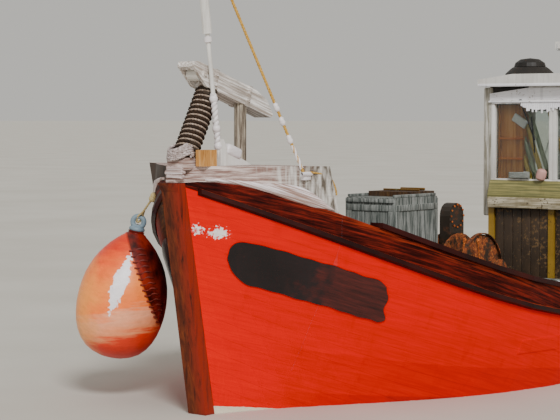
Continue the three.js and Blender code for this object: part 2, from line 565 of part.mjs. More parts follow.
function makeWheelhouse() {
  const { s, half, wall, top } = HOUSE;
  const z = [DECK_TOP + GAP, top - GAP];
  const alongSide = [s[0] + wall + GAP, s[1] - wall - GAP];
  const WALLS = [
    { side: 'front', body: { x: [-half, half], s: [s[0], s[0] + wall], z } },
    { side: 'back', body: { x: [-half, half], s: [s[1] - wall, s[1]], z } },
    { side: 'port', body: { x: [half - wall, half], s: alongSide, z } },
    { side: 'starboard', body: { x: [-half, -half + wall], s: alongSide, z } },
  ];
  for (const { side, body } of WALLS) {
    const alongX = side === 'front' || side === 'back';
    const middle = alongX ? (body.s[0] + body.s[1]) / 2 : (body.x[0] + body.x[1]) / 2;
    const opening = ({ across, z: height }, slack, thick) => {
      const span = [across[0] + slack, across[1] - slack];
      const through = [middle - thick / 2, middle + thick / 2];
      const high = [height[0] + slack, height[1] - slack];
      return alongX ? box({ x: span, s: through, z: high }) : box({ x: through, s: span, z: high });
    };
    const holes = WINDOWS[side].map(w => opening(w, 0, 200));
    if (side === 'port') holes.push(box({ x: [0, 1000], s: DOOR.s, z: DOOR.z }));
    const panel = cut(box(body), ...holes);
    add(boat, 'wheelhouse_' + side, side === 'port' ? join(panel, ...doorHinges()) : panel, WHITE);
    WINDOWS[side].forEach((w, i) => {
      const letter = WINDOWS[side].length > 1 ? '_' + (i + 1) : '';
      add(boat, 'pane_' + side + letter, opening(w, GAP, 8), GLASS);
    });
  }
  const edge = half + 75;
  const crown = 60;
  const roofOutline = [[-edge, 0], [edge, 0], [edge, HOUSE.roof - crown], [460, HOUSE.roof], [-460, HOUSE.roof],
    [-edge, HOUSE.roof - crown]];
  const roofShape = new THREE.Shape(roofOutline.map(([x, z]) => new THREE.Vector2(x, z)));
  const roofLength = s[1] - s[0] + 250;
  const roof = new THREE.ExtrudeGeometry(roofShape, { depth: roofLength, bevelEnabled: false })
    .rotateX(Math.PI / 2).translate(0, stationY(s[1] + 90), top);
  add(boat, 'wheelhouse_roof', roof, WHITE);

  const sill = profile([[s[0] - GAP, 1560], [s[0] - GAP, 1880], [s[0] - 40, 1870], [s[0] - 95, 1700],
    [s[0] - 85, 1580]], 2 * half - 60);
  add(boat, 'wheelhouse_sill', sill, OLIVE);
  const STILE = { width: 75, proud: 42 };
  const stiles = [-half + 50, 0, half - 50].map(x => box({
    x: [x - STILE.width / 2, x + STILE.width / 2], s: [s[0] - STILE.proud, s[0] - GAP], z: [DECK_TOP + GAP, 1560 - GAP] }));
  const skirting = box({ x: [-half, half], s: [s[0] - STILE.proud, s[0] - GAP], z: [DECK_TOP + GAP, DECK_TOP + 90] });
  add(boat, 'wheelhouse_stiles', join(skirting, ...stiles), OCHRE);

  const doorLength = DOOR.s[1] - DOOR.s[0] - 16;
  const panel = block(DOOR.thick, doorLength, doorHeight).translate(-32, doorLength / 2 + 2, 0);
  const knuckles = KNUCKLES.map(up => join(
    rod(HINGE.radius, HINGE.length, 12).translate(0, 0, up),
    block(26, 60, 110).translate(-9, 30, up)));
  add(boat, 'wheelhouse_door', join(panel, ...knuckles), VARNISH,
    [HINGE.x, stationY(HINGE.s), doorMiddle]);

  const console = box({ x: [-620, 620], s: [s[0] + wall + 2, s[0] + wall + 420], z: [DECK_TOP + GAP, 1500] });
  add(boat, 'helm_console', console, VARNISH);
  const rim = new THREE.TorusGeometry(260, 18, 8, 24).rotateX(Math.PI / 2);
  const spokes = [0, 1, 2].map(i => rodAlongX(11, 520, 8).rotateY(i * Math.PI / 3));
  const hub = rodAlongY(45, 60, 16);
  const spindle = rodAlongY(16, 80 - RUN, 12).translate(0, -(80 - RUN) / 2, 0);
  add(boat, 'helm_wheel', join(rim, ...spokes, hub, spindle), VARNISH, [0, stationY(s[0] + wall + 500), 1330]);
}

// Mast behind the wheelhouse, with a derrick boom on a gooseneck that slews and tops
const MAST = { s: 8420, radius: 62, top: 6100, neckZ: 3460, neckOut: 150, heelOut: 105 };
const BOOM = { length: 1750, rise: 0.52 };
function makeMastAndBoom() {
  const { s, radius, top, neckZ, neckOut } = MAST;
  const pole = rod(radius, top - DECK_TOP - GAP, 16, 40).translate(0, stationY(s), (top + DECK_TOP + GAP) / 2);
  const foot = box({ x: [-120, 120], s: [s - 120, s + 120], z: [DECK_TOP + GAP, DECK_TOP + 60] });
  const plates = [-80, 80].map(up => box({ x: [-45, 45], s: [s, s + neckOut + 40], z: [neckZ + up - 10, neckZ + up + 10] }));
  const pin = rod(15, 170, 16).translate(0, stationY(s + neckOut), neckZ);
  add(boat, 'mast', join(pole, foot, ...plates, pin), VARNISH);

  const barrel = rod(38, 126, 16);
  const fork = [-34, 34].map(x => block(14, 130, 90).translate(x, 75, 0));
  const web = block(82, 30, 90).translate(0, 42, 0);
  const heelPin = rodAlongX(12, 82, 12).translate(0, MAST.heelOut, 0);
  add(boat, 'gooseneck', cut(join(barrel, ...fork, web, heelPin), rod(boreRadius(15, 16), 200, 16)), STEEL,
    [0, stationY(s + neckOut), neckZ]);
  const spar = rodAlongY(42, BOOM.length, 12).translate(0, BOOM.length / 2 + 95, 0);
  const heel = cut(block(38, 140, 60).translate(0, 45, 0), rodAlongX(boreRadius(12, 12), 80, 12));
  add(boat, 'boom', join(heel, spar), VARNISH, [0, stationY(s + neckOut + MAST.heelOut), neckZ], [BOOM.rise, 0, 0]);
}

// Two shrouds from an iron band on the mast down to plates on the cap rails, one iron piece with the band
function makeStays() {
  const BAND_Z = 5750;
  const plateS = MAST.s + 60;
  const rail = railAt(plateS);
  const foot = { x: rail.half - 30, z: rail.z + CAP.thick };
  const overRail = [[-200, -100], [-200, CAP.thick + GAP], [200, CAP.thick + GAP], [200, -100]];
  const railSpace = strip(0, SHARES.filter(share => share > 1), overRail);
  const mastSpace = rod(MAST.radius - 17.5, 400, 16).translate(0, stationY(MAST.s), BAND_Z);
  const ring = rod(62, 70, 16).translate(0, stationY(MAST.s), BAND_Z);
  const shrouds = [-1, 1].flatMap(side => [
    rodBetween({ x: side * 52, s: MAST.s, z: BAND_Z }, { x: side * foot.x, s: plateS, z: foot.z }, 7, 8),
    block(60, 150, 80).translate(side * foot.x, stationY(plateS), foot.z + 20),
  ]);
  const stays = cut(join(ring, ...shrouds), mastSpace, railSpace, mirrored(railSpace));
  add(boat, 'mast_stays', stays, GALVANISED);
}

// On the wheelhouse roof: exhaust stack, life raft canister, and a turning radar scanner
const RADAR = { x: 330, s: 6860, height: 260 };
const VENT = { x: -420, s: 6620, collar: 85, cap: 185, lift: 90, height: 190 };
function makeRoofGear() {
  const roofTop = HOUSE.top + HOUSE.roof + GAP;
  add(boat, 'exhaust_stack', rod(65, 640, 16).translate(-330, stationY(8180), roofTop + 320), STEEL);
  const RAFT = { s: 7700, radius: 200, length: 820, lift: 240 };
  const raft = rodAlongX(RAFT.radius, RAFT.length, 20).translate(0, stationY(RAFT.s), roofTop + RAFT.lift);
  const cradle = box({ x: [-300, 300], s: [RAFT.s - 130, RAFT.s + 130], z: [roofTop, roofTop + 160] });
  add(boat, 'liferaft', join(raft, cradle), WHITE);
  const pedestal = join(
    rod(105, RADAR.height, 16).translate(RADAR.x, stationY(RADAR.s), roofTop + RADAR.height / 2),
    block(260, 260, 20).translate(RADAR.x, stationY(RADAR.s), roofTop + 10));
  add(boat, 'radar_pedestal', pedestal, WHITE);
  const ventOutline = [[0, -30], [VENT.collar, -30], [VENT.collar, VENT.lift], [VENT.cap, VENT.lift],
    [VENT.cap - 15, VENT.lift + 45], [VENT.cap - 75, VENT.height - 15], [0, VENT.height]]
    .map(([radius, z]) => new THREE.Vector2(radius, z));
  const vent = new THREE.LatheGeometry(ventOutline, 20).rotateX(Math.PI / 2)
    .translate(VENT.x, stationY(VENT.s), roofTop);
  const roofSpace = boat.getObjectByName('wheelhouse_roof').geometry.clone().translate(0, 0, GAP);
  add(boat, 'roof_vent', cut(vent, roofSpace), DARK_BAND);
  add(boat, 'radar_scanner', join(block(1050, 110, 80), rod(40, 60, 12).translate(0, 0, -50)), WHITE,
    [RADAR.x, stationY(RADAR.s), roofTop + RADAR.height + 80 + RUN]);
}

// Stern gear: gantry, otter boards hung from it, and the net drum before it
const GANTRY = { s: 9560, x: 1250, top: 2750, beam: 110, arm: 560 };
function makeSternGear() {
  const { s, x, top, beam, arm } = GANTRY;
  const half = beam / 2;
  const legs = [-x, x].map(at => box({ x: [at - half, at + half], s: [s - half, s + half], z: [DECK_TOP + GAP, top] }));
  const cross = box({ x: [-x - half, x + half], s: [s - half, s + half], z: [top - beam, top] });
  const arms = [-x + 250, x - 250].map(at => box({ x: [at - 45, at + 45], s: [s, s + arm], z: [top - 90, top] }));
  add(boat, 'stern_gantry', join(...legs, cross, ...arms), GALVANISED);
  const boardShape = new THREE.Shape();
  boardShape.moveTo(-500, 310);
  boardShape.lineTo(-500, -130);
  boardShape.absarc(-320, -130, 180, Math.PI, Math.PI * 1.5, false);
  boardShape.lineTo(320, -310);
  boardShape.absarc(320, -130, 180, Math.PI * 1.5, Math.PI * 2, false);
  boardShape.lineTo(500, 310);
  const boardBody = new THREE.ExtrudeGeometry(boardShape, { depth: 60, bevelEnabled: false, curveSegments: 6 })
    .rotateX(Math.PI / 2).translate(0, 30, 0);
  const chain = rod(14, 560, 8).translate(0, 0, 590);
  for (const [side, at] of [['port', x - 250], ['starboard', -x + 250]]) {
    add(boat, 'otter_board_' + side, join(boardBody, chain), VARNISH,
      [at, stationY(s + arm - 40), top - 90 - GAP - 870]);
  }
  const DRUM = { s: 9060, z: 1080, half: 640, core: 110, flange: 340, net: 270 };
  const cheeks = [-DRUM.half, DRUM.half].map(at => join(
    box({ x: [at - 20, at + 20], s: [DRUM.s - 150, DRUM.s + 150], z: [DECK_TOP + GAP, DRUM.z - 60] }),
    box({ x: [at - 30, at + 30], s: [DRUM.s - 80, DRUM.s + 80], z: [DRUM.z - 90, DRUM.z + 80] })));
  const tie = box({ x: [-DRUM.half, DRUM.half], s: [DRUM.s - 60, DRUM.s + 60], z: [DECK_TOP + GAP, DECK_TOP + 60] });
  const bore = rodAlongX(boreRadius(32, 24), 3000, 24).translate(0, stationY(DRUM.s), DRUM.z);
  add(boat, 'net_drum_frame', cut(join(tie, ...cheeks), bore), STEEL);
  const drum = join(
    rodAlongX(DRUM.core, 1180, 20),
    rodAlongX(32, 1400, 24),
    ...[-580, 580].map(at => rodAlongX(DRUM.flange, 24, 24).translate(at, 0, 0)));
  add(boat, 'net_drum', drum, GALVANISED, [0, stationY(DRUM.s), DRUM.z]);
  const roll = [[0, -560], [DRUM.net - 30, -560], [DRUM.net, -470], [DRUM.net - 8, -150], [DRUM.net + 6, 120],
    [DRUM.net - 4, 440], [DRUM.net - 40, 560], [0, 560]].map(([radius, along]) => new THREE.Vector2(radius, along));
  const wound = cut(new THREE.LatheGeometry(roll, 20).rotateZ(Math.PI / 2), rodAlongX(DRUM.core + GAP, 1300, 20));
  add(boat, 'net_wound', wound, NET_GREEN, [0, stationY(DRUM.s), DRUM.z]);
}

makeHull();
makeBackbone();
makeDeckAndBulwarks();
makeRails();
makeForedeck();
makeAnchorBeam();
makeBowStaff();
makeFender();
makeCompanion();
makeWinch();
makeHatch();
makeWheelhouse();
makeMastAndBoom();
makeStays();
makeRoofGear();
makeSternGear();

export default boat;
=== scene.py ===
import bpy
import math
import random
from mathutils import Matrix, Vector


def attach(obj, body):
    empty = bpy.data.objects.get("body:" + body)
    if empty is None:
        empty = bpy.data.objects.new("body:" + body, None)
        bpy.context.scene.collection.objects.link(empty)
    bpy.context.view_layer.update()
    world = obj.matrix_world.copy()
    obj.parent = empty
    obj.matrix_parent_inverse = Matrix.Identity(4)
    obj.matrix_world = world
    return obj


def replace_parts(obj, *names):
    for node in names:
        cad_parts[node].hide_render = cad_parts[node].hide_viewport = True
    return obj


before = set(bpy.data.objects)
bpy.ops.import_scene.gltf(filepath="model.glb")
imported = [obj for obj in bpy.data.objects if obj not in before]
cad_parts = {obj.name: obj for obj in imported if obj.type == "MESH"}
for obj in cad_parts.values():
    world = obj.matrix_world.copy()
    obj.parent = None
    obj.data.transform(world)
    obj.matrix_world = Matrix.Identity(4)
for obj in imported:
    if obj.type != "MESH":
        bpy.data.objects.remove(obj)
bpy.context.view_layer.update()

# Camera, floor and light: the camera is the photograph's, off the port bow and a little over the rail,
# with a long lens. The floor lies at the waterline, z 0. A soft sun stands high off the port bow, and a
# broad lamp fills in from ahead.
CAMERA_AT, CAMERA_TILT, CAMERA_TURN, CAMERA_LENS = (10.098, -16.214, 2.588), 87.026, 38.52, 113.19
bpy.ops.object.select_all(action="DESELECT")
bpy.ops.object.camera_add(
    location=CAMERA_AT, rotation=(math.radians(CAMERA_TILT), 0, math.radians(CAMERA_TURN)))
camera = bpy.context.object
camera.data.lens = CAMERA_LENS
camera.data.sensor_width = 36
camera.data.clip_end = 4000
bpy.context.scene.camera = camera


def linear(hex_colour):
    """An sRGB hex colour as linear red, green, blue and alpha."""
    parts = [int(hex_colour[i:i + 2], 16) / 255 for i in (1, 3, 5)]
    return (*[p / 12.92 if p <= 0.04045 else ((p + 0.055) / 1.055) ** 2.4 for p in parts], 1)


def connect(node, sockets):
    """Gives a node's sockets their numbers, sRGB hex colours or links."""
    for socket, value in sockets.items():
        if isinstance(value, bpy.types.NodeSocket):
            node.id_data.links.new(value, node.inputs[socket])
        else:
            node.inputs[socket].default_value = linear(value) if isinstance(value, str) else value


def add_node(tree, kind, sockets=None, stops=None, **settings):
    """One shader node with its settings, colour stops and sockets. Gives its first output in use."""
    made = tree.nodes.new("ShaderNode" + kind)
    for key, value in settings.items():
        setattr(made, key, value)
    if stops:
        ramp = made.color_ramp.elements
        while len(ramp) < len(stops):
            ramp.new(0.5)
        for element, (at, colour) in zip(ramp, stops):
            element.position, element.color = at, linear(colour)
    connect(made, sockets or {})
    return next(output for output in made.outputs if output.enabled)


def new_finish(name):
    """A material with its node tree, its shader and the object's own coordinates."""
    material = bpy.data.materials.new(name)
    material.use_nodes = True
    tree = material.node_tree
    return material, tree, tree.nodes["Principled BSDF"], add_node(tree, "TexCoord").node.outputs["Object"]


# matt emulsion: pale and warm, with a broad mottle so weak that it only keeps the floor from looking flat
floor_finish, tree, surface, place = new_finish("matt_studio_floor")
mottle = add_node(tree, "TexNoise", {"Vector": place, "Scale": 0.35, "Detail": 3})
tone = add_node(tree, "ValToRGB", {"Fac": mottle}, stops=[(0.3, "#BDB8AE"), (0.7, "#C8C4BA")])
connect(surface, {"Base Color": tone, "Roughness": 0.85})
bpy.ops.mesh.primitive_plane_add(size=3000, location=(0, 0, 0))
floor = bpy.context.object
floor.name = "studio_floor"
floor.data.materials.append(floor_finish)

world = bpy.data.worlds.new("studio_sky")
world.use_nodes = True
connect(world.node_tree.nodes["Background"], {"Color": "#E4E2DC", "Strength": 0.75})
bpy.context.scene.world = world
SUN_FROM, BOW_LIGHT_AT, BOW_LIGHT_AIM = Vector((1, -0.85, 0.95)), Vector((3, -18, 6)), Vector((0, -3, 1))
bpy.ops.object.light_add(type="SUN", rotation=SUN_FROM.to_track_quat("Z", "Y").to_euler())
sun = bpy.context.object
sun.name = "key_light"
sun.data.energy = 3.0
sun.data.angle = math.radians(14)
bpy.ops.object.light_add(type="AREA", location=BOW_LIGHT_AT)
lamp = bpy.context.object
lamp.name = "bow_light"
lamp.data.size = 6
lamp.data.energy = 260
lamp.rotation_euler = (BOW_LIGHT_AT - BOW_LIGHT_AIM).to_track_quat("Z", "Y").to_euler()

# Hull: carvel planking on frames, its seams payed and its topsides brushed with red boat enamel.
# A dark maroon sheer strake runs under the rail. The enamel is chalked in patches, with runs of dirt
# below the freeing ports, and the bulwarks are grey inside.
STEM_Y = -4.95
FULLEST, SHEER_MID, SHEER_RISE, SHEER_POWER = 5.0, 0.62, 1.38, 2.05
TRANSOM_S, STERN_RISE, RUN_POWER = 9.882, 0.18, 2.2
PLANK_WIDTH, SEAM_WIDTH = 0.14, 0.006
WHITE_MARKS = (((0, -4.845, 1.635), 0.04), ((0, -4.735, 1.605), 0.056))
HOLD_Y, HOLD_REACH = 0.775, (0.5, 0.49, 0.45)


def sheer_at(s):
    """The half breadth and height of the sheer at a station, metres aft of the stem head."""
    if s <= FULLEST:
        rest = 1 - max(s, 0) / FULLEST
        return 0.1 + 1.735 * (1 - rest ** 4.1), SHEER_MID + SHEER_RISE * rest ** SHEER_POWER
    aft = (s - FULLEST) / (TRANSOM_S - FULLEST)
    return 1.835 - 0.275 * aft ** 2, SHEER_MID + STERN_RISE * aft ** RUN_POWER


def rail_at(s):
    """The half breadth and height of the rail, on top of the sheer strake."""
    half, z = sheer_at(s)
    return half + 0.005, z + 0.235 - 0.195 * math.exp(-max(s, 0) / 0.25)


def over_sheer(tree, place):
    """Height over the sheer line, worked out for each point of the surface, with its X, Y and Z."""
    x, y, z = add_node(tree, "SeparateXYZ", {0: place}).node.outputs
    rest = add_node(tree, "MapRange", {"Value": y, "From Min": STEM_Y, "From Max": STEM_Y + FULLEST,
                                       "To Min": 1.0, "To Max": 0.0})
    rise = add_node(tree, "Math", {0: rest, 1: SHEER_POWER}, operation="POWER")
    fore = add_node(tree, "Math", {0: rise, 1: SHEER_RISE, 2: SHEER_MID}, operation="MULTIPLY_ADD")
    aft = add_node(tree, "MapRange", {"Value": y, "From Min": STEM_Y + FULLEST,
                                      "From Max": STEM_Y + TRANSOM_S})
    lift = add_node(tree, "Math", {0: aft, 1: RUN_POWER}, operation="POWER")
    sheer = add_node(tree, "Math", {0: lift, 1: STERN_RISE, 2: fore}, operation="MULTIPLY_ADD")
    return add_node(tree, "Math", {0: z, 1: sheer}, operation="SUBTRACT"), x, y, z


def facing(tree):
    """Which way the surface faces: the X, Y and Z of its normal."""
    return add_node(tree, "SeparateXYZ", {0: add_node(tree, "TexCoord").node.outputs["Normal"]}).node.outputs


def painted(tree, colour, coat, value, start=0.0, full=1.0, most=1.0):
    """The colour with a coat over it: none of it where value is at start, and most of it at full."""
    share = add_node(tree, "MapRange", {"Value": value, "From Min": start, "From Max": full, "To Max": most})
    return add_node(tree, "Mix", {0: share, 6: colour, 7: coat}, data_type="RGBA")


def brushed_paint(name, coat, faded, grime, bare, stroke=(2, 45, 45), turn=(0, 0, 0), shine=0.4,
                  chips=0.72, runs=0.4, under=None, glint=0.4, zones=None):
    """Boat paint put on by brush: chalked in patches, streaked by runs of dirt, lined by the bristles,
    thin enough between them to show the under colour, and chipped to what is under it all. zones can
    recolour parts before the dirt and chips go on."""
    material, tree, surface, place = new_finish(name)
    patches = add_node(tree, "TexNoise", {"Vector": place, "Scale": 1.9, "Detail": 5, "Roughness": 0.6})
    colour = painted(tree, coat, faded, patches, 0.4, 0.66)
    along = add_node(tree, "Mapping", {"Vector": place, "Rotation": turn, "Scale": [1 / s for s in stroke]},
                     vector_type="TEXTURE")
    # on a face that looks up, the brush went fore and aft
    fore_and_aft = add_node(tree, "Mapping", {"Vector": place, "Scale": (45, 2, 45)})
    flat = add_node(tree, "MapRange", {"Value": facing(tree)[2], "From Min": 0.75, "From Max": 0.8})
    along = add_node(tree, "Mix", {0: flat, 4: along, 5: fore_and_aft}, data_type="VECTOR")
    bristles = add_node(tree, "TexNoise", {"Vector": along, "Scale": 1, "Detail": 6, "Roughness": 0.7})
    if under:
        colour = painted(tree, colour, under, bristles, 0.6, 0.42)
    if zones:
        colour = zones(tree, place, colour, bristles)
    lines = add_node(tree, "MapRange", {"Value": bristles, "From Min": 0.3, "From Max": 0.7,
                                        "To Min": 0.86, "To Max": 1.1})
    colour = add_node(tree, "Mix", {0: 1.0, 6: colour, 7: lines}, data_type="RGBA", blend_type="MULTIPLY")
    hung = add_node(tree, "Mapping", {"Vector": place, "Scale": (11, 11, 0.7)})
    trails = add_node(tree, "TexNoise", {"Vector": hung, "Scale": 1, "Detail": 4, "Roughness": 0.55})
    colour = painted(tree, colour, grime, trails, 0.56, 0.78, runs)
    flakes = add_node(tree, "TexNoise", {"Vector": place, "Scale": 31, "Detail": 8, "Roughness": 0.68})
    worn = add_node(tree, "TexNoise", {"Vector": place, "Scale": 3.1, "Detail": 2})
    level = add_node(tree, "Math", {0: worn, 1: 0.35, 2: flakes}, operation="MULTIPLY_ADD")
    chip = add_node(tree, "MapRange", {"Value": level, "From Min": chips + 0.17, "From Max": chips + 0.19})
    gloss = add_node(tree, "MapRange", {"Value": patches, "From Min": 0.35, "From Max": 0.7,
                                        "To Min": shine - 0.06, "To Max": shine + 0.16})
    depth = add_node(tree, "Math", {0: chip, 1: -0.8, 2: bristles}, operation="MULTIPLY_ADD")
    connect(surface, {
        "Base Color": add_node(tree, "Mix", {0: chip, 6: colour, 7: bare}, data_type="RGBA"),
        "Roughness": add_node(tree, "Math", {0: chip, 1: 0.3, 2: gloss}, operation="MULTIPLY_ADD"),
        "Specular IOR Level": glint,
        "Normal": add_node(tree, "Bump", {"Strength": 0.35, "Distance": 0.004, "Height": depth})})
    return material


def hull_zones(tree, place, colour, bristles):
    """Plank seams, painted shade in brown on the starboard bow, two white marks, boot top, antifouling, the
    sheer strake with its rubbed upper edge, the lining of the fish hold, and grey on the bulkhead under the
    fore deck."""
    over, x, y, z = over_sheer(tree, place)
    plank = add_node(tree, "Math", {0: over, 1: PLANK_WIDTH, 2: 0.0}, operation="WRAP")
    colour = painted(tree, colour, "#7A1206", plank, SEAM_WIDTH, 0.0, 0.28)
    # painted shade: brown, streaked with red, on the starboard bow by the stem and behind the fender
    ragged = add_node(tree, "TexNoise", {
        "Vector": add_node(tree, "Mapping", {"Vector": place, "Scale": (4, 4, 1.3)}),
        "Scale": 2.2, "Detail": 6, "Roughness": 0.65})
    aft_of_stem = add_node(tree, "Math", {0: ragged, 1: 0.55, 2: y}, operation="MULTIPLY_ADD")
    starboard = add_node(tree, "MapRange", {"Value": x, "From Min": -0.09, "From Max": -0.12})
    brown = add_node(tree, "ValToRGB", {"Fac": bristles}, stops=[
        (0.3, "#23120A"), (0.5, "#43220F"), (0.62, "#5A3A16"), (0.74, "#C0300C")])
    colour = painted(tree, colour, brown, aft_of_stem, -3.55, -4.3, starboard)
    # two white marks on the port bow, each smaller than a hand
    speckle = add_node(tree, "TexNoise", {"Vector": place, "Scale": 44, "Detail": 3})
    port = add_node(tree, "Math", {0: x, 1: 0.0}, operation="GREATER_THAN")
    for at, reach in WHITE_MARKS:
        flat = add_node(tree, "CombineXYZ", {1: y, 2: z})
        off = add_node(tree, "VectorMath", {0: flat, 1: at}, operation="DISTANCE")
        ring = add_node(tree, "Math", {0: speckle, 1: -0.16, 2: off}, operation="MULTIPLY_ADD")
        colour = painted(tree, colour, "#EFE6E2", ring, reach - 0.085, reach - 0.1, port)
    # cream boot top that shows only where the bow rides high
    top = add_node(tree, "MapRange", {"Value": y, "From Min": -4.6, "From Max": -4.0,
                                      "To Min": 0.062, "To Max": -0.01})
    top = add_node(tree, "Math", {0: ragged, 1: 0.02, 2: top}, operation="MULTIPLY_ADD")
    colour = painted(tree, colour, "#D9D2BC", add_node(tree, "Math", {0: z, 1: top}, operation="LESS_THAN"))
    # dull red antifouling from a hand's breadth under the water
    fouled = add_node(tree, "ValToRGB", {"Fac": ragged}, stops=[(0.35, "#46160E"), (0.55, "#6E2418"),
                                                                (0.7, "#5E5A3C")])
    colour = painted(tree, colour, fouled, z, -0.1, -0.11)
    # dark sheer strake, with brush marks of red in it and a rubbed upper edge
    strake = add_node(tree, "ValToRGB", {"Fac": bristles}, stops=[
        (0.38, "#1C0605"), (0.5, "#40100A"), (0.64, "#782014"), (0.74, "#A83624")])
    torn = add_node(tree, "MapRange", {"Value": bristles, "From Min": 0.44, "From Max": 0.6})
    strake = painted(tree, strake, "#8E3016", over, 0.16, 0.23, torn)
    colour = painted(tree, colour, strake, over, -0.004, 0.004)
    # pale boards line the fish hold
    hold = add_node(tree, "VectorMath", {0: place, 1: (0, HOLD_Y, 0)}, operation="SUBTRACT")
    hold = add_node(tree, "VectorMath", {0: hold}, operation="ABSOLUTE")
    lined = 1.0
    for off, reach in zip(add_node(tree, "SeparateXYZ", {0: hold}).node.outputs, HOLD_REACH):
        within = add_node(tree, "Math", {0: off, 1: reach}, operation="LESS_THAN")
        lined = add_node(tree, "Math", {0: within, 1: lined}, operation="MULTIPLY")
    lining = add_node(tree, "ValToRGB", {"Fac": ragged}, stops=[(0.35, "#8E938A"), (0.6, "#C2C7BF")])
    colour = painted(tree, colour, lining, lined)
    # the bulkhead under the fore deck's after end
    aft_face = add_node(tree, "Math", {0: facing(tree)[1], 1: 0.95}, operation="GREATER_THAN")
    forward = add_node(tree, "Math", {0: y, 1: 0.0}, operation="LESS_THAN")
    return painted(tree, colour, "#78838A", aft_face, most=forward)


def bulwark_zones(tree, place, colour, bristles):
    """The hull's zones outside, and grey paint on the faces that look inboard."""
    across, aft, up = facing(tree)
    side = add_node(tree, "Math", {0: add_node(tree, "SeparateXYZ", {0: place})}, operation="SIGN")
    outward = add_node(tree, "Math", {0: side, 1: across}, operation="MULTIPLY")
    outward = add_node(tree, "Math", {0: aft, 1: 0.6, 2: outward}, operation="MULTIPLY_ADD")
    grey = add_node(tree, "ValToRGB", {"Fac": bristles}, stops=[(0.35, "#59646A"), (0.6, "#8A949A")])
    return painted(tree, hull_zones(tree, place, colour, bristles), grey, outward, 0.25, 0.15)


def stern_zones(tree, place, colour, bristles):
    """The hull's zones outside, and grey on the face that looks forward."""
    colour = hull_zones(tree, place, colour, bristles)
    return painted(tree, colour, "#78838A", facing(tree)[1], -0.5, -0.6)


def rail_zones(tree, place, colour, bristles):
    """Red brown on the faces that look up: a painted highlight along the top of the rail, and wear where feet
    and nets have rubbed it.
    """
    worn = add_node(tree, "MapRange", {"Value": bristles, "From Min": 0.38, "From Max": 0.56})
    return painted(tree, colour, "#A83A1A", facing(tree)[2], 0.5, 0.8, worn)


def finish_node(material, *names):
    """Gives parts of the frame their finish."""
    for name in names:
        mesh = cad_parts[name].data
        mesh.materials.clear()
        mesh.materials.append(material)


RED = ("#DE0600", "#DA0E00", "#8A1606", "#C04A2A")
ENAMEL = {"stroke": (3, 1.6, 46), "turn": (-0.3, 0, 0), "shine": 0.5, "chips": 0.8, "runs": 0.15,
          "glint": 0.05}
# boat enamel: saturated red with a low sheen, brush lines along the planks and few chips
hull_paint = brushed_paint("red_boat_enamel", *RED, **ENAMEL, zones=hull_zones)
finish_node(hull_paint, "hull")
# the same enamel outboard, and blue-grey paint inboard
finish_node(brushed_paint("red_enamel_grey_inside", *RED, **ENAMEL, zones=bulwark_zones),
            "bulwark_port", "bulwark_starboard")
finish_node(brushed_paint("red_enamel_stern", *RED, **ENAMEL, zones=stern_zones), "bulwark_stern")
# thin maroon over black: nearly black in the hollows, red brown on the faces that look up, as a painted
# highlight and where it is rubbed
finish_node(brushed_paint("maroon_rail_paint", "#1E0706", "#3A0D08", "#1A0C08", "#8A3A1C", stroke=(5, 3, 60),
                          runs=0.2, glint=0.15, zones=rail_zones),
            "cap_rail_port", "cap_rail_starboard", "rub_rail_port", "rub_rail_starboard")


# Backbone: oak stem, keel and sternpost, oiled and dark above the water, with a reddish rubbed strip
# beside the planking. The rudder is oak too, the engine painted iron, the propeller cast bronze.
def weathered_wood(name, dark, mid, light, grain=(26, 26, 1.4), turn=(0, 0, 0), rough=0.72, greyed=0.35,
                   zones=None):
    """Sawn timber left to the weather: long grain, checks along it, and greyed patches."""
    material, tree, surface, place = new_finish(name)
    along = add_node(tree, "Mapping", {"Vector": place, "Rotation": turn, "Scale": [1 / g for g in grain]},
                     vector_type="TEXTURE")
    fibres = add_node(tree, "TexNoise", {"Vector": along, "Scale": 1, "Detail": 7, "Roughness": 0.66,
                                         "Distortion": 0.6})
    colour = add_node(tree, "ValToRGB", {"Fac": fibres}, stops=[(0.3, dark), (0.5, mid), (0.72, light)])
    patches = add_node(tree, "TexNoise", {"Vector": place, "Scale": 2.6, "Detail": 4})
    colour = painted(tree, colour, "#6C665C", patches, 0.5, 0.75, greyed)
    if zones:
        colour = zones(tree, place, colour, fibres)
    relief = add_node(tree, "Bump", {"Strength": 0.5, "Distance": 0.005, "Height": fibres})
    connect(surface, {"Base Color": colour, "Roughness": rough, "Specular IOR Level": 0.25, "Normal": relief})
    return material


def stem_zones(tree, place, colour, fibres):
    """Red brown where the stem's port side meets the enamel, antifouling red under the water."""
    x, y, z = add_node(tree, "SeparateXYZ", {0: place}).node.outputs
    rubbed = add_node(tree, "MapRange", {"Value": fibres, "From Min": 0.3, "From Max": 0.5})
    colour = painted(tree, colour, "#8A2410", x, -0.03, 0.085, rubbed)
    return painted(tree, colour, "#5E1F14", z, 0.02, -0.01)


# oiled oak: dark red brown, its long grain showing through
finish_node(weathered_wood("oiled_oak_stem", "#2A0E06", "#5C2610", "#86401A", greyed=0.0, zones=stem_zones),
            "backbone")
# old oak, tarred once: brown black, greyed in patches
finish_node(weathered_wood("dark_oak", "#20140C", "#3D2716", "#5D4527", grain=(24, 24, 3)),
            "rudder", "hatch_coaming", "companion_slide", "anchor_post_fore")


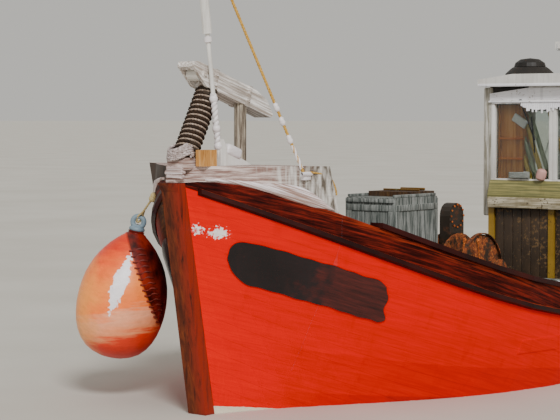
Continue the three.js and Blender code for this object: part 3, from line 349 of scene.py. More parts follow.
def worn_iron(name, coat, rust, bright, amount=0.5, rough=0.6, metal=0.5, scale=9):
    """Painted iron gone to rust in blooms, brighter where it rubs."""
    material, tree, surface, place = new_finish(name)
    blooms = add_node(tree, "TexNoise", {"Vector": place, "Scale": scale, "Detail": 8, "Roughness": 0.7})
    rusted = add_node(tree, "MapRange", {"Value": blooms, "From Min": 0.66 - amount * 0.4,
                                         "From Max": 0.74 - amount * 0.3})
    fine = add_node(tree, "TexNoise", {"Vector": place, "Scale": scale * 7, "Detail": 6})
    flaking = add_node(tree, "ValToRGB", {"Fac": fine},
                       stops=[(0.3, "#3B1A0C"), (0.55, rust), (0.75, bright)])
    connect(surface, {
        "Base Color": add_node(tree, "Mix", {0: rusted, 6: coat, 7: flaking}, data_type="RGBA"),
        "Metallic": add_node(tree, "MapRange", {"Value": rusted, "To Min": metal, "To Max": 0.05}),
        "Roughness": add_node(tree, "MapRange", {"Value": rusted, "To Min": rough - 0.15, "To Max": 0.9}),
        "Normal": add_node(tree, "Bump", {"Strength": 0.5, "Distance": 0.004, "Height": blooms})})
    return material


# engine enamel: dull green with brown stains
finish_node(worn_iron("engine_enamel", "#2F4A3C", "#6B3A1E", "#8A5A33", amount=0.15), "engine")
# cast bronze: yellow brown metal, green where it is wet
bronze = worn_iron("cast_bronze", "#8A6630", "#5B6B45", "#B98F4A", amount=0.25, rough=0.45, metal=0.9)
finish_node(bronze, "propeller")


# Deck: pine planks laid fore and aft on the beams, payed with pitch and painted grey. Boots have worn
# the paint pale, and through to the wood in places.
def deck_zones(tree, place, colour, bristles):
    """Pitch seams each 95 mm across the deck."""
    across = add_node(tree, "SeparateXYZ", {0: place})
    plank = add_node(tree, "Math", {0: across, 1: 0.095, 2: 0.0}, operation="WRAP")
    return painted(tree, colour, "#17181A", plank, 0.008, 0.005)


# deck paint: matt grey, well chipped, with dirt trodden into it
finish_node(brushed_paint("grey_deck_paint", "#767E80", "#8C9392", "#4B4238", "#A08E70", stroke=(50, 2, 50),
                          shine=0.7, chips=0.6, runs=0.3, zones=deck_zones), "deck")


# Fore deck cap: the planked top of the forepeak, thick with pale lead paint, painted shade in dark brown
# on its faces that look to starboard, and streaked grey on its after end.
def cap_zones(tree, place, colour, bristles):
    """Painted shade in dark brown on the faces that look to starboard, and grey streaks at the after end."""
    y = add_node(tree, "SeparateXYZ", {0: place}).node.outputs[1]
    upright_grain = add_node(tree, "Mapping", {"Vector": place, "Scale": (34, 34, 4)})
    streaks = add_node(tree, "TexNoise", {"Vector": upright_grain, "Scale": 1, "Detail": 5})
    aft = add_node(tree, "Math", {0: streaks, 1: 0.5, 2: y}, operation="MULTIPLY_ADD")
    across, backward, up = facing(tree)
    upright = add_node(tree, "MapRange", {"Value": up, "From Min": 0.8, "From Max": 0.7})
    grey = add_node(tree, "ValToRGB", {"Fac": streaks}, stops=[(0.38, "#5E564C"), (0.5, "#A09A92"),
                                                               (0.66, "#CCC8C2")])
    colour = painted(tree, colour, grey, aft, -4.3, -4.0, upright)
    # painted shade: dark brown, streaked, on the faces that look to starboard
    starboard_face_shade = add_node(tree, "ValToRGB", {"Fac": streaks}, stops=[(0.35, "#1E130B"), (0.6, "#3E2A18")])
    return painted(tree, colour, starboard_face_shade, across, -0.15, -0.3)


# thick lead paint: pinkish and chalky, with brown showing between the marks of the brush
finish_node(brushed_paint("pale_fore_deck_paint", "#D4C3BC", "#C8B4AC", "#7E6660", "#8A6A58",
                          stroke=(4, 1.6, 60), shine=0.5, chips=0.8, runs=0.3, under="#84645A", glint=0.2,
                          zones=cap_zones), "foredeck_cap")


# Registration panels: a thin board sprung to each bow under the sheer strake, black, its after half
# gone over again in maroon with a wide brush. They are bare.
def only(piece):
    """Makes one piece selected and active."""
    bpy.ops.object.select_all(action="DESELECT")
    piece.select_set(True)
    bpy.context.view_layer.objects.active = piece


def joined(parts):
    """Parts made into one piece."""
    only(parts[0])
    for part in parts:
        part.select_set(True)
    bpy.ops.object.join()
    return bpy.context.object


def fasten(piece, name, finish, body="boat", angle=32):
    """Sets a piece, or parts that are joined first, in place on its body, with its edges smoothed, its name
    and finish."""
    piece = joined(piece) if isinstance(piece, list) else piece
    only(piece)
    bpy.ops.object.transform_apply(location=True, rotation=True, scale=True)
    bpy.ops.object.shade_smooth_by_angle(angle=math.radians(angle))
    piece.name = piece.data.name = name
    piece.data.materials.clear()
    piece.data.materials.append(finish)
    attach(piece, body)
    return piece


def apply_modifier(piece, kind, **settings):
    """Adds one modifier to a piece and applies it."""
    only(piece)
    step = piece.modifiers.new("step", kind)
    for key, value in settings.items():
        setattr(step, key, value)
    bpy.ops.object.modifier_apply(modifier="step")


def turn_faces_out(piece):
    """Makes all the faces of a closed shape point outwards."""
    only(piece)
    bpy.ops.object.mode_set(mode="EDIT")
    bpy.ops.mesh.select_all(action="SELECT")
    bpy.ops.mesh.normals_make_consistent(inside=False)
    bpy.ops.object.mode_set(mode="OBJECT")


def panel_zones(tree, place, colour, bristles):
    """Black forward and maroon aft, where the brush ran on over the lower edge."""
    y = add_node(tree, "SeparateXYZ", {0: place}).node.outputs[1]
    wide = add_node(tree, "TexNoise", {"Vector": place, "Scale": 7, "Detail": 4})
    reach = add_node(tree, "Math", {0: wide, 1: 0.7, 2: y}, operation="MULTIPLY_ADD")
    maroon = add_node(tree, "ValToRGB", {"Fac": bristles}, stops=[(0.35, "#2A0D0C"), (0.65, "#4E1A16")])
    return painted(tree, colour, maroon, reach, -3.82, -3.66)


# black gloss: deep black with a little red dust in it, streaked along the board
panel_paint = brushed_paint("black_panel_paint", "#120A0C", "#1C1012", "#3A1A16", "#8E2A16",
                            stroke=(3, 3, 55), turn=(-0.37, 0, 0), shine=0.3, runs=0.3, zones=panel_zones)
SIDES = ((1, "port"), (-1, "starboard"))
only(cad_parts["hull"])
for side, name in SIDES:
    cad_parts["bulwark_" + name].select_set(True)
bpy.ops.object.duplicate()
bpy.ops.object.join()
planking = bpy.context.object
for side, name in SIDES:
    bpy.ops.object.select_all(action="DESELECT")
    bpy.ops.mesh.primitive_grid_add(x_subdivisions=64, y_subdivisions=18, size=1)
    panel = bpy.context.object
    for vertex in panel.data.vertices:
        along, up = vertex.co.x + 0.5, vertex.co.y * 2
        close = math.sqrt(max(0.001, 1 - max(0, 1 - along / 0.13) ** 2))
        close *= 1 - 0.2 * max(0, (along - 0.93) / 0.07) ** 2
        close *= 1 + 0.035 * math.sin(along * 31 + up) * math.sin(along * 13)
        end = 0.012 * math.sin(up * 5) * along
        vertex.co = (2.4 * side, -4.65 + 1.078 * along + end - (0.0415 - 0.0085 * along) * up * close,
                     1.385 - 0.423 * along + (0.1925 - 0.006 * along) * up * close)
    apply_modifier(panel, "SHRINKWRAP", target=planking, wrap_method="PROJECT", use_project_x=True,
                   use_negative_direction=side > 0, use_positive_direction=side < 0, offset=0.001)
    apply_modifier(panel, "SOLIDIFY", thickness=0.012, offset=side)
    turn_faces_out(panel)
    fasten(panel, "registration_panel_" + name, panel_paint, angle=50)


# Freeing port flaps: iron plates hung outside the ports along the deck edge, bent to the bulwark's
# curve and painted over with the topsides.
def swept(rings):
    """A skin drawn through rings of points, all with the same number of points, closed at its ends."""
    skin = bpy.data.meshes.new("skin")
    count = len(rings[0])
    faces = [(a * count + i, a * count + (i + 1) % count,
              (a + 1) * count + (i + 1) % count, (a + 1) * count + i)
             for a in range(len(rings) - 1) for i in range(count)]
    faces += [tuple(range(count)), tuple((len(rings) - 1) * count + i for i in range(count))]
    skin.from_pydata([point for ring in rings for point in ring], [], faces)
    piece = bpy.data.objects.new("skin", skin)
    bpy.context.collection.objects.link(piece)
    turn_faces_out(piece)
    return piece


PORT_STARTS, PORT_LENGTH, FLAP_THICK = (2.9, 4.3, 5.7, 7.1, 8.5), 0.56, 0.011
bpy.context.view_layer.update()
for side, name in SIDES:
    for number, start in enumerate(PORT_STARTS, 1):
        rings = []
        for step in range(9):
            y = start - 0.02 + PORT_LENGTH * step / 8 + STEM_Y
            low, high = [planking.ray_cast((2.4 * side, y, z), (-side, 0, 0))[1].x for z in (0.392, 0.53)]
            rings.append([(low, y, 0.395), (low + FLAP_THICK * side, y, 0.398),
                          (high + FLAP_THICK * side, y, 0.524), (high, y, 0.528)])
        fasten(swept(rings), "freeing_flap_%s_%d" % (name, number), hull_paint)
bpy.data.objects.remove(planking)

# Fore deck edge moulding: a white half-round batten nailed over the joint of cap and rail, each side,
# widest near its after end, where it is planed to a point.
MOULDING_START, MOULDING_LENGTH, MOULDING_STEPS, MOULDING_SIDES = 0.1, 0.76, 24, 12
# thick gloss: bright white with a soft shine and hardly a mark
moulding_white = brushed_paint("thick_white_gloss", "#E6E0E2", "#DAD2D0", "#8C7A70", "#A08074",
                               stroke=(5, 5, 60), shine=0.3, runs=0.15)
# the same gloss over bare brown wood, which shows between the bristle marks as fine slanting streaks
streaked_white = brushed_paint("streaked_white_gloss", "#EAE2E4", "#DCCFCE", "#8C7A70", "#A08074",
                               stroke=(2, 2, 75), turn=(-0.45, 0, 0), shine=0.35, chips=0.78, runs=0.1,
                               under="#9A7C70", glint=0.25)
for side, name in SIDES:
    rings = []
    for step in range(MOULDING_STEPS + 1):
        share = step / MOULDING_STEPS
        s = MOULDING_START + MOULDING_LENGTH * share
        half, z = rail_at(s)
        high = 0.012 + 0.052 * math.sin(math.pi * min(1, share / 0.94) ** 2.4) + 0.01 * share
        high *= math.sqrt(max(0.002, 1 - max(0, (share - 0.86) / 0.14) ** 2))
        rings.append([(side * (half - 0.004 + 0.022 * math.cos(a)), s + STEM_Y,
                       z + 0.012 + 0.5 * high + high * math.sin(a))
                      for a in [math.tau * k / MOULDING_SIDES for k in range(MOULDING_SIDES)]])
    fasten(swept(rings), "fore_deck_moulding_" + name, streaked_white, angle=60)


# Stem head: lifts of softwood stacked and nailed at the nose of the fore deck, painted pale with it, a
# whitened rope coil dropped over the post above them, and a chock of pitch pine beside it.
def sawn(at, size, turn=(0, 0, 0), edge=0.005, segments=2):
    """A block or board, its edges taken off."""
    bpy.ops.object.select_all(action="DESELECT")
    bpy.ops.mesh.primitive_cube_add(size=1, location=at, rotation=turn)
    timber = bpy.context.object
    bpy.ops.object.mode_set(mode="EDIT")
    bpy.ops.transform.resize(value=size, orient_type="LOCAL")
    bpy.ops.mesh.bevel(offset=edge, segments=segments, affect="EDGES")
    bpy.ops.object.mode_set(mode="OBJECT")
    return timber


def laid_rope(points, thick, strands=3, lay=4.0):
    """Rope along a line of points: its strands wind round the line, one turn in lay diameters."""
    line = [Vector(point) for point in points]
    walk = []
    for a, b in zip(line, line[1:]):
        parts = max(1, round((b - a).length / (thick * lay / 9)))
        walk += [a.lerp(b, i / parts) for i in range(parts)]
    walk.append(line[-1])
    curve = bpy.data.curves.new("rope", "CURVE")
    curve.dimensions = "3D"
    curve.bevel_depth = thick * 0.28
    curve.bevel_resolution = 1
    curve.use_fill_caps = True
    for strand in range(strands):
        spline = curve.splines.new("POLY")
        spline.points.add(len(walk) - 1)
        across, run = (walk[1] - walk[0]).orthogonal(), 0.0
        for i, point in enumerate(walk):
            ahead = (walk[min(i + 1, len(walk) - 1)] - walk[max(i - 1, 0)]).normalized()
            across = (across - ahead * across.dot(ahead)).normalized()
            run += (point - walk[max(i - 1, 0)]).length
            angle = math.tau * (strand / strands + run / (thick * lay))
            out = across * math.cos(angle) + ahead.cross(across) * math.sin(angle)
            spline.points[i].co = (*(point + out * thick * 0.24), 1)
    rope = bpy.data.objects.new("rope", curve)
    bpy.context.collection.objects.link(rope)
    only(rope)
    bpy.ops.object.convert(target="MESH")
    return bpy.context.object


def wound(count, per_turn):
    """Steps round a winding: at each the angle, and the turns made so far."""
    return [(math.tau * k / per_turn, k / per_turn) for k in range(count)]


LIFTS = ((0.05, 2.093, 0.17, 0.02), (0.045, 2.128, 0.2, -0.03), (0.055, 2.163, 0.18, 0.03))
fasten([sawn((x, -5.022, z), (wide, 0.06, 0.036), turn=(0, lean, 0), edge=0.013, segments=3)
        for x, z, wide, lean in LIFTS], "stem_head_block", streaked_white)
# rope gone white with paint and salt, brown in the hollows of its lay
whitened_rope = brushed_paint("whitened_rope", "#D6CCCC", "#BFB0AC", "#7A6860", "#8A7468",
                              stroke=(60, 60, 60), chips=0.76, under="#8E7C76")
coil = [(0.055 + (0.118 - 0.004 * made) * math.cos(a), -4.965 + 0.095 * math.sin(a),
         2.272 - 0.05 * max(0, -math.sin(a + 0.3)) + 0.019 * made) for a, made in wound(200, 40)]
fasten(laid_rope(coil, 0.03, lay=5), "stem_head_coil", whitened_rope, angle=60)
# pitch pine, oiled: orange brown with a straight open grain
finish_node(weathered_wood("pale_pitch_pine", "#8A5622", "#BC8444", "#D8AA70", grain=(28, 28, 3), greyed=0.1),
            "bow_chock")


# Anchor beam: a sawn baulk of pitch pine with iron straps over it, let down on its posts. Its nylon
# roller turns on a pin between the two cheeks.
def turned(outline, at, aim=(0, 0, 1), sides=32):
    """A round piece: its outline of (radius, height) is drawn point by point and spun on its axis."""
    bpy.ops.object.select_all(action="DESELECT")
    bpy.ops.mesh.primitive_plane_add(size=0.01)
    piece = bpy.context.object
    bpy.ops.object.mode_set(mode="EDIT")
    bpy.ops.mesh.select_all(action="SELECT")
    bpy.ops.mesh.merge(type="CENTER")
    bpy.ops.transform.translate(value=(outline[0][0], 0, outline[0][1]))
    for (wide, low), (wider, high) in zip(outline, outline[1:]):
        bpy.ops.mesh.extrude_vertices_move(TRANSFORM_OT_translate={"value": (wider - wide, 0, high - low)})
    bpy.ops.mesh.select_all(action="SELECT")
    bpy.ops.mesh.spin(steps=sides, angle=math.tau, center=(0, 0, 0), axis=(0, 0, 1))
    bpy.ops.mesh.select_all(action="SELECT")
    bpy.ops.mesh.remove_doubles(threshold=0.0001)
    bpy.ops.mesh.normals_make_consistent(inside=False)
    bpy.ops.object.mode_set(mode="OBJECT")
    piece.rotation_euler = Vector(aim).to_track_quat("Z", "Y").to_euler()
    piece.location = at
    return piece


def on_beam(x, along, up):
    """A point in the beam's own lie, as a place on the boat."""
    return BEAM_AT + Matrix.Rotation(BEAM_SLOPE, 3, "X") @ Vector((x, along, up))


BEAM_AT, BEAM_SLOPE = Vector((0.06, -4.357, 2.842)), -0.294
BEAM_HALF, BEAM_DEEP, STRAP_OVER, STRAP_DOWN = 0.099, 0.09, (0.206, 0.05, 0.008), (0.008, 0.05, 0.185)
# white lead over timber and iron alike, with thin grey lines along the beam where the brush ran dry
beam_paint = brushed_paint("pale_beam_paint", "#F2EEEA", "#E0DAD4", "#6B5A48", "#8B7460",
                           stroke=(40, 1.8, 50), turn=(BEAM_SLOPE, 0, 0), shine=0.5, chips=0.76, runs=0.2,
                           under="#A89A8E", glint=0.2)
finish_node(beam_paint, "anchor_beam")
# moulded nylon, scratched round and round and yellowed in patches
finish_node(brushed_paint("worn_white_nylon", "#DAD6CE", "#C8C2B8", "#6A6054", "#A09484", stroke=(2, 60, 60)),
            "anchor_roller")
straps = []
for along in (-0.27, 0.2):
    for x, up, size in ((0, BEAM_DEEP, STRAP_OVER), (BEAM_HALF, 0, STRAP_DOWN), (-BEAM_HALF, 0, STRAP_DOWN),
                        (0, -BEAM_DEEP, STRAP_OVER)):
        straps.append(sawn(on_beam(x, along, up), size, turn=(BEAM_SLOPE, 0, 0), edge=0.002))
    straps += [turned([(0.014, -0.006), (0.013, 0.006), (0.008, 0.012), (0, 0.013)],
                      on_beam(0.106 * side, along, up), (side, 0, 0), sides=10)
               for side in (1, -1) for up in (0.045, -0.045)]
fasten(straps, "anchor_beam_straps", beam_paint)
fasten([turned([(0.034, 0), (0.034, 0.006), (0.02, 0.009), (0.02, 0.02), (0, 0.021)],
               on_beam(0.095 * side, -0.43, 0.005), (side, 0, 0), sides=16) for side in (1, -1)],
       "roller_pin_plates", beam_paint)

# Posts: the oak fore post is wound with tarred line and old manila against chafe, in turns laid close
# beside each other. The after post is painted stone grey.
# stone-coloured paint with long runs of dirt down it, and dark wood between the brush marks
finish_node(brushed_paint("stone_post_paint", "#B8AC9A", "#978A78", "#3E342A", "#4A3A2A", stroke=(55, 55, 3),
                          runs=0.6, under="#5C5044", glint=0.2), "anchor_post_aft")
# manila gone grey brown, its fibres too fine to show and so drawn about 4 mm apart
old_manila = weathered_wood("old_manila", "#4E3C30", "#A08C7C", "#C8B8A8", grain=(70, 70, 70), rough=0.9)
# tarred hemp: near black, with brown where the tar has worn off
tarred = weathered_wood("tarred_line", "#130D09", "#2A1B10", "#4A3320", grain=(90, 90, 90), rough=0.8)
POST_FOOT, POST_HEAD, POST_RADIUS, TURNS = Vector((0.06, -4.98, 2.15)), Vector((0.06, -4.45, 3.11)), 0.083, 13
WOUND_FROM, WOUND_SHARE = 0.135, 0.585
axis = (POST_HEAD - POST_FOOT).normalized()
sideways = Vector((1, 0, 0))
for start, name, finish, thick in ((0.0, "fore_post_tarred_winding", tarred, 0.03),
                                   (0.5, "fore_post_manila_winding", old_manila, 0.019)):
    helix = []
    for a, made in wound(TURNS * 24 + 1, 24):
        out = sideways * math.cos(a) + axis.cross(sideways) * math.sin(a)
        helix.append(POST_FOOT.lerp(POST_HEAD, WOUND_FROM + WOUND_SHARE * (made + start) / (TURNS + 0.5))
                     + out * (POST_RADIUS + thick / 2))
    fasten(laid_rope(helix, thick), name, finish, angle=60)

# Bow staff: a white painted spar in a kneed step, its lower part served with white line, with a turned
# collar near its head and a wedge driven in beside the knee.
HOUSE_WHITES = ("#E4E1DC", "#CFCBC4", "#7A6248", "#A88B62")
# house paint: warm white, chalking grey, with brown runs and chips that show the old coat
white_paint = brushed_paint("white_house_paint", *HOUSE_WHITES, stroke=(30, 30, 3), shine=0.45, chips=0.74,
                            runs=0.35)
finish_node(white_paint, "bow_staff")
STAFF_FOOT, STAFF = Vector((0.205, -4.615, 2.15)), Vector((-0.015, -0.15, 1.165))
lashing = [laid_rope([STAFF_FOOT + STAFF * 0.16, STAFF_FOOT + STAFF * 0.56], 0.06, strands=2, lay=1.5)]
lashing += [turned([(0.02, -0.03), (0.034, -0.018), (0.037, 0.006), (0.03, 0.024), (0.02, 0.03)],
                   STAFF_FOOT + STAFF * along, STAFF, sides=16) for along in (0.17, 0.3, 0.52)]
fasten(lashing, "staff_lashings", moulding_white, angle=60)
fasten(turned([(0.019, 0), (0.034, 0.01), (0.036, 0.03), (0.034, 0.05), (0.019, 0.058)],
              STAFF_FOOT + STAFF * 0.93, STAFF, sides=20), "staff_collar", moulding_white)
fasten(sawn((0.2, -4.46, 2.3), (0.1, 0.2, 0.1), turn=(-0.32, 0, 0), edge=0.028, segments=3),
       "staff_knee_wedge", moulding_white)


# Bow stay: golden three-strand rope set up from the staff to a cleat at the rail, whipped with white
# line, its foot served and its tail hanging over the cleat.
def through(points, count=10):
    """A smooth line through points, with count steps from each to the next."""
    line = [Vector(point) for point in points]
    line = [2 * line[0] - line[1]] + line + [2 * line[-1] - line[-2]]
    smooth = []
    for a, b, c, d in zip(line, line[1:], line[2:], line[3:]):
        for i in range(count):
            t = i / count
            smooth.append(0.5 * (2 * b + (c - a) * t + (2 * a - 5 * b + 4 * c - d) * t * t
                                 + (3 * b - a - 3 * c + d) * t ** 3))
    return smooth + [line[-2]]


STAY_FOOT, STAY_TOP = Vector((0.875, -4.278, 2.085)), Vector((0.20875, -4.8529, 4.2))
# manila rope: dry straw colour, with darker hairs across its strands
rope_finish = weathered_wood("manila_rope", "#8A7447", "#C2AC77", "#DDCDA0", grain=(90, 90, 90), rough=0.9)
finish_node(rope_finish, "bow_stay", "fender_lanyard")
# newer rope with its oil still in it: golden, a little glossier
gold_rope = weathered_wood("golden_rope", "#8A6424", "#C0923A", "#E0BE78", grain=(90, 90, 90), rough=0.85)
stay = laid_rope([STAY_FOOT, STAY_TOP], 0.026, lay=3.6)
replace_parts(fasten(stay, "bow_stay_rope", gold_rope, angle=60), "bow_stay")
WHIPPING = ((0.01, -0.04), (0.022, -0.034), (0.026, -0.01), (0.021, 0.006), (0.024, 0.024), (0.01, 0.04))
for z, name in ((2.41, "low"), (2.565, "middle"), (2.685, "high")):
    at = STAY_FOOT.lerp(STAY_TOP, (z - STAY_FOOT.z) / (STAY_TOP.z - STAY_FOOT.z))
    fasten(turned(WHIPPING, at, STAY_TOP - STAY_FOOT, sides=14), "stay_whipping_" + name, moulding_white,
           angle=60)
served = [STAY_FOOT.lerp(STAY_TOP, share) for share in (0.035, 0.13)]
fasten(laid_rope(served, 0.036, strands=2, lay=5), "stay_foot_serving", moulding_white,
       angle=60)
fasten([turned([(0.014, -0.09), (0.02, -0.03), (0.02, 0.03), (0.014, 0.09)],
               (0.905, -4.278, 2.115), (0, 1, 0), sides=12),
        sawn((0.88, -4.278, 2.085), (0.05, 0.09, 0.05), edge=0.01)],
       "stay_cleat", moulding_white)
tail = through([(0.875, -4.278, 2.13), (0.93, -4.24, 2.125), (0.99, -4.17, 2.11), (1.035, -4.13, 2.075),
                (1.06, -4.1, 2.0), (1.065, -4.085, 1.93)])
fasten(laid_rope(tail, 0.017), "stay_tail", gold_rope, angle=60)

# Fender: a blown orange vinyl buoy with a ribbed blue-grey neck, hung by a laid lanyard. Its skin carries
# painted light: a yellow lit side, peach bands and a white painted highlight, with painted shade in dark
# red along a row of moulded ribs down its seam.
FENDER_AT, FENDER_AXIS = Vector((-1.074, -4.491, 0.972)), Vector((0.179, 0.108, 0.9779))
SEAM_LEFT, SEAM_IN = Vector((-0.782, -0.623, 0)), Vector((-0.62, 0.78, 0))
SEAM_TOP, SEAM_SLOPE, SEAM_RISE = 0.05, 0.36, 0.53


def fender_zones(tree, place, colour, bristles):
    """Painted light and shade: a yellow lit side, a peach highlight band, a darker red crown and foot, a
    white painted highlight down the middle, and painted shade in dark red behind the seam."""
    local = add_node(tree, "VectorMath", {0: place, 1: FENDER_AT}, operation="SUBTRACT")
    left = add_node(tree, "VectorMath", {0: local, 1: SEAM_LEFT}, operation="DOT_PRODUCT")
    up = add_node(tree, "SeparateXYZ", {0: local}).node.outputs[2]
    wide = add_node(tree, "TexNoise", {"Vector": place, "Scale": 6, "Detail": 4, "Roughness": 0.6})
    fine = add_node(tree, "TexNoise", {"Vector": place, "Scale": 26, "Detail": 3})
    drawn = add_node(tree, "Mapping", {"Vector": place, "Scale": (2.6, 2.6, 24)})
    drawn = add_node(tree, "TexNoise", {"Vector": drawn, "Scale": 1, "Detail": 4, "Roughness": 0.6})
    height = add_node(tree, "Math", {0: drawn, 1: -0.3, 2: up}, operation="MULTIPLY_ADD")
    slanting = add_node(tree, "Math", {0: left, 1: 0.22, 2: height}, operation="MULTIPLY_ADD")
    bands = add_node(tree, "MapRange", {"Value": slanting, "From Min": -0.75, "From Max": 0.45})
    # painted light and shade: red at the foot and crown, a peach highlight band low down, orange between
    tones = add_node(tree, "ValToRGB", {"Fac": bands}, stops=[
        (0.0, "#C81E02"), (0.18, "#E03408"), (0.23, "#F0905E"), (0.36, "#F4A67E"), (0.42, "#FF7A30"),
        (0.6, "#FF8A38"), (0.8, "#F65A1E"), (0.9, "#D8300C"), (1.0, "#E0400E")])
    # painted light: the side toward the light turns yellow
    lit_side = add_node(tree, "Math", {0: wide, 1: 0.3, 2: left}, operation="MULTIPLY_ADD")
    tones = painted(tree, tones, "#FFA848", lit_side, 0.34, 0.5, 0.6)
    # painted highlight: a white slanting patch with a torn edge
    rise = add_node(tree, "Math", {0: up, 1: 0.13}, operation="SUBTRACT")
    skew = add_node(tree, "Math", {0: rise, 1: 0.345, 2: left}, operation="MULTIPLY_ADD")
    off = add_node(tree, "Math", {0: skew}, operation="ABSOLUTE")
    bow = add_node(tree, "Math", {0: rise, 1: rise}, operation="MULTIPLY")
    off = add_node(tree, "Math", {0: bow, 1: off}, operation="ADD")
    off = add_node(tree, "Math", {0: fine, 1: -0.13, 2: off}, operation="MULTIPLY_ADD")
    tones = painted(tree, tones, "#F4EEF0", off, 0.012, 0.002)
    # painted shade: dark red on everything on the far side of the seam line
    reach = add_node(tree, "Math", {0: up, 1: -SEAM_SLOPE, 2: SEAM_TOP + SEAM_SLOPE * SEAM_RISE},
                     operation="MULTIPLY_ADD")
    reach = add_node(tree, "Math", {0: reach, 1: left}, operation="ADD")
    deep = add_node(tree, "ValToRGB", {"Fac": wide},
                    stops=[(0.35, "#2E0806"), (0.5, "#6A140A"), (0.62, "#8E220E")])
    tones = painted(tree, tones, deep, reach, 0.012, -0.012)
    outboard = add_node(tree, "VectorMath", {0: local, 1: -SEAM_IN}, operation="DOT_PRODUCT")
    return painted(tree, "#D8380E", tones, outboard, -0.05, 0.02)


# orange vinyl: matt and scored by drawn lines, with painted light and shade from deep orange red to yellow
# and peach
fender_vinyl = brushed_paint("orange_vinyl_painted_light", "#F0541E", "#F0541E", "#B84A24", "#F7C2A4",
                             stroke=(12, 12, 30), turn=(0.3, 0.4, 0), shine=0.32, chips=0.84, runs=0.15,
                             zones=fender_zones)
# newer vinyl, evenly orange with a paler bloom
orange_vinyl = brushed_paint("orange_fender_vinyl", "#E8602A", "#EE8A55", "#B23A1A", "#F3B694",
                             stroke=(8, 8, 8), shine=0.3, chips=0.8, runs=0.2)
finish_node(orange_vinyl, "fender")
FENDER_OUTLINE = (
    (0, -0.585), (0.06, -0.583), (0.12, -0.577), (0.19, -0.552), (0.255, -0.513), (0.31, -0.455),
    (0.35, -0.388), (0.38, -0.31), (0.398, -0.23), (0.408, -0.15), (0.41, -0.09), (0.408, -0.02),
    (0.398, 0.06), (0.384, 0.135), (0.36, 0.21), (0.331, 0.28), (0.295, 0.345), (0.256, 0.4),
    (0.213, 0.455), (0.168, 0.5), (0.13, 0.535),
    (0.1, 0.558), (0.092, 0.57), (0.078, 0.576), (0.07, 0.586), (0.078, 0.596), (0.06, 0.602), (0.054, 0.614),
    (0.06, 0.622), (0.05, 0.634), (0, 0.642))
body = fasten(turned(FENDER_OUTLINE, FENDER_AT, FENDER_AXIS, sides=72), "fender_body", fender_vinyl,
              angle=40)
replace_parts(body, "fender")
bpy.context.view_layer.update()
RIBS, RIB_TOP, RIB_PITCH = 17, 0.42, 0.05
ribs = []
for k in range(RIBS):
    up = RIB_TOP - RIB_PITCH * k
    start = -(SEAM_TOP + SEAM_SLOPE * (SEAM_RISE - up))
    line = []
    for across in (0.016, -0.015, -0.046, -0.078, -0.11):
        off_skin = Vector((0, 0, up - 0.12 * across)) + SEAM_LEFT * (start + across) - SEAM_IN * 2
        struck, at = body.ray_cast(FENDER_AT + off_skin, SEAM_IN)[:2]
        if struck:
            line.append(at)
    if len(line) > 1:
        ribs.append(laid_rope(line, 0.03, strands=1))
# painted shade: dark red vinyl for the fender's shaded side, with pinkish chips on the ribs
fasten(ribs, "fender_seam_ribs", brushed_paint(
    "dark_red_vinyl_painted_shade", "#9A4034", "#5E1A14", "#2A0A06", "#B86A5C", stroke=(20, 20, 20), shine=0.4),
    angle=60)


def bent_ring(at, wide, thick, turn=(0, 0, 0), around=48, section=12):
    """A round bar bent into a ring."""
    bpy.ops.object.select_all(action="DESELECT")
    bpy.ops.mesh.primitive_torus_add(major_radius=wide, minor_radius=thick, major_segments=around,
                                     minor_segments=section, location=at, rotation=turn)
    return bpy.context.object


# hard vinyl of the neck and eye: blue grey, scratched pale
eye_grey = brushed_paint("blue_grey_vinyl", "#5F7684", "#7C8F9A", "#3C4A52", "#A9B4BA", stroke=(20, 20, 20))
eye_turn = Vector((0.5, -0.85, 0)).to_track_quat("Z", "Y").to_euler()
fasten([bent_ring(FENDER_AT + FENDER_AXIS * 0.685, 0.052, 0.024, eye_turn, around=28),
        turned([(0.052, 0.6), (0.07, 0.605), (0.074, 0.62), (0.066, 0.635), (0.045, 0.645), (0.03, 0.66)],
               FENDER_AT, FENDER_AXIS, sides=28)], "fender_eye", eye_grey, angle=60)
hung = through([(-0.713, -4.47, 1.878), (-0.77, -4.47, 1.82), (-0.87, -4.44, 1.74), (-0.945, -4.432, 1.69),
                (-0.972, -4.41, 1.64), (-0.945, -4.39, 1.66), (-0.875, -4.42, 1.745)])
knot = turned([(0.012, -0.045), (0.03, -0.035), (0.036, -0.015), (0.03, 0), (0.036, 0.015), (0.03, 0.035),
               (0.012, 0.045)], (-0.715, -4.47, 1.876), (-0.5, 0, -0.8), sides=14)
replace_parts(fasten([laid_rope(hung, 0.021), knot], "fender_lanyard_rope", rope_finish, angle=60),
            "fender_lanyard")


# Wheelhouse front: matchboarding painted white over framed posts. A header board runs under the roof,
# each window has a beaded frame, and tongued boards close the front below the sill, painted dark.
def matchboard_zones(tree, place, colour, bristles):
    """A V joint each 95 mm between the upright boards, dark with dirt, and grey soiling near the deck."""
    x, y, z = add_node(tree, "SeparateXYZ", {0: place}).node.outputs
    sideways = add_node(tree, "Math", {0: facing(tree)[0]}, operation="ABSOLUTE")
    sideways = add_node(tree, "Math", {0: sideways, 1: 0.5}, operation="GREATER_THAN")
    across = add_node(tree, "Mix", {0: sideways, 2: x, 3: y}, data_type="FLOAT")
    board = add_node(tree, "Math", {0: across, 1: 0.095, 2: 0.0}, operation="WRAP")
    colour = painted(tree, colour, "#6E675C", board, 0.008, 0.003, 0.75)
    low = add_node(tree, "Math", {0: bristles, 1: -0.8, 2: z}, operation="MULTIPLY_ADD")
    return painted(tree, colour, "#8A7F6C", low, 0.45, -0.05, 0.6)


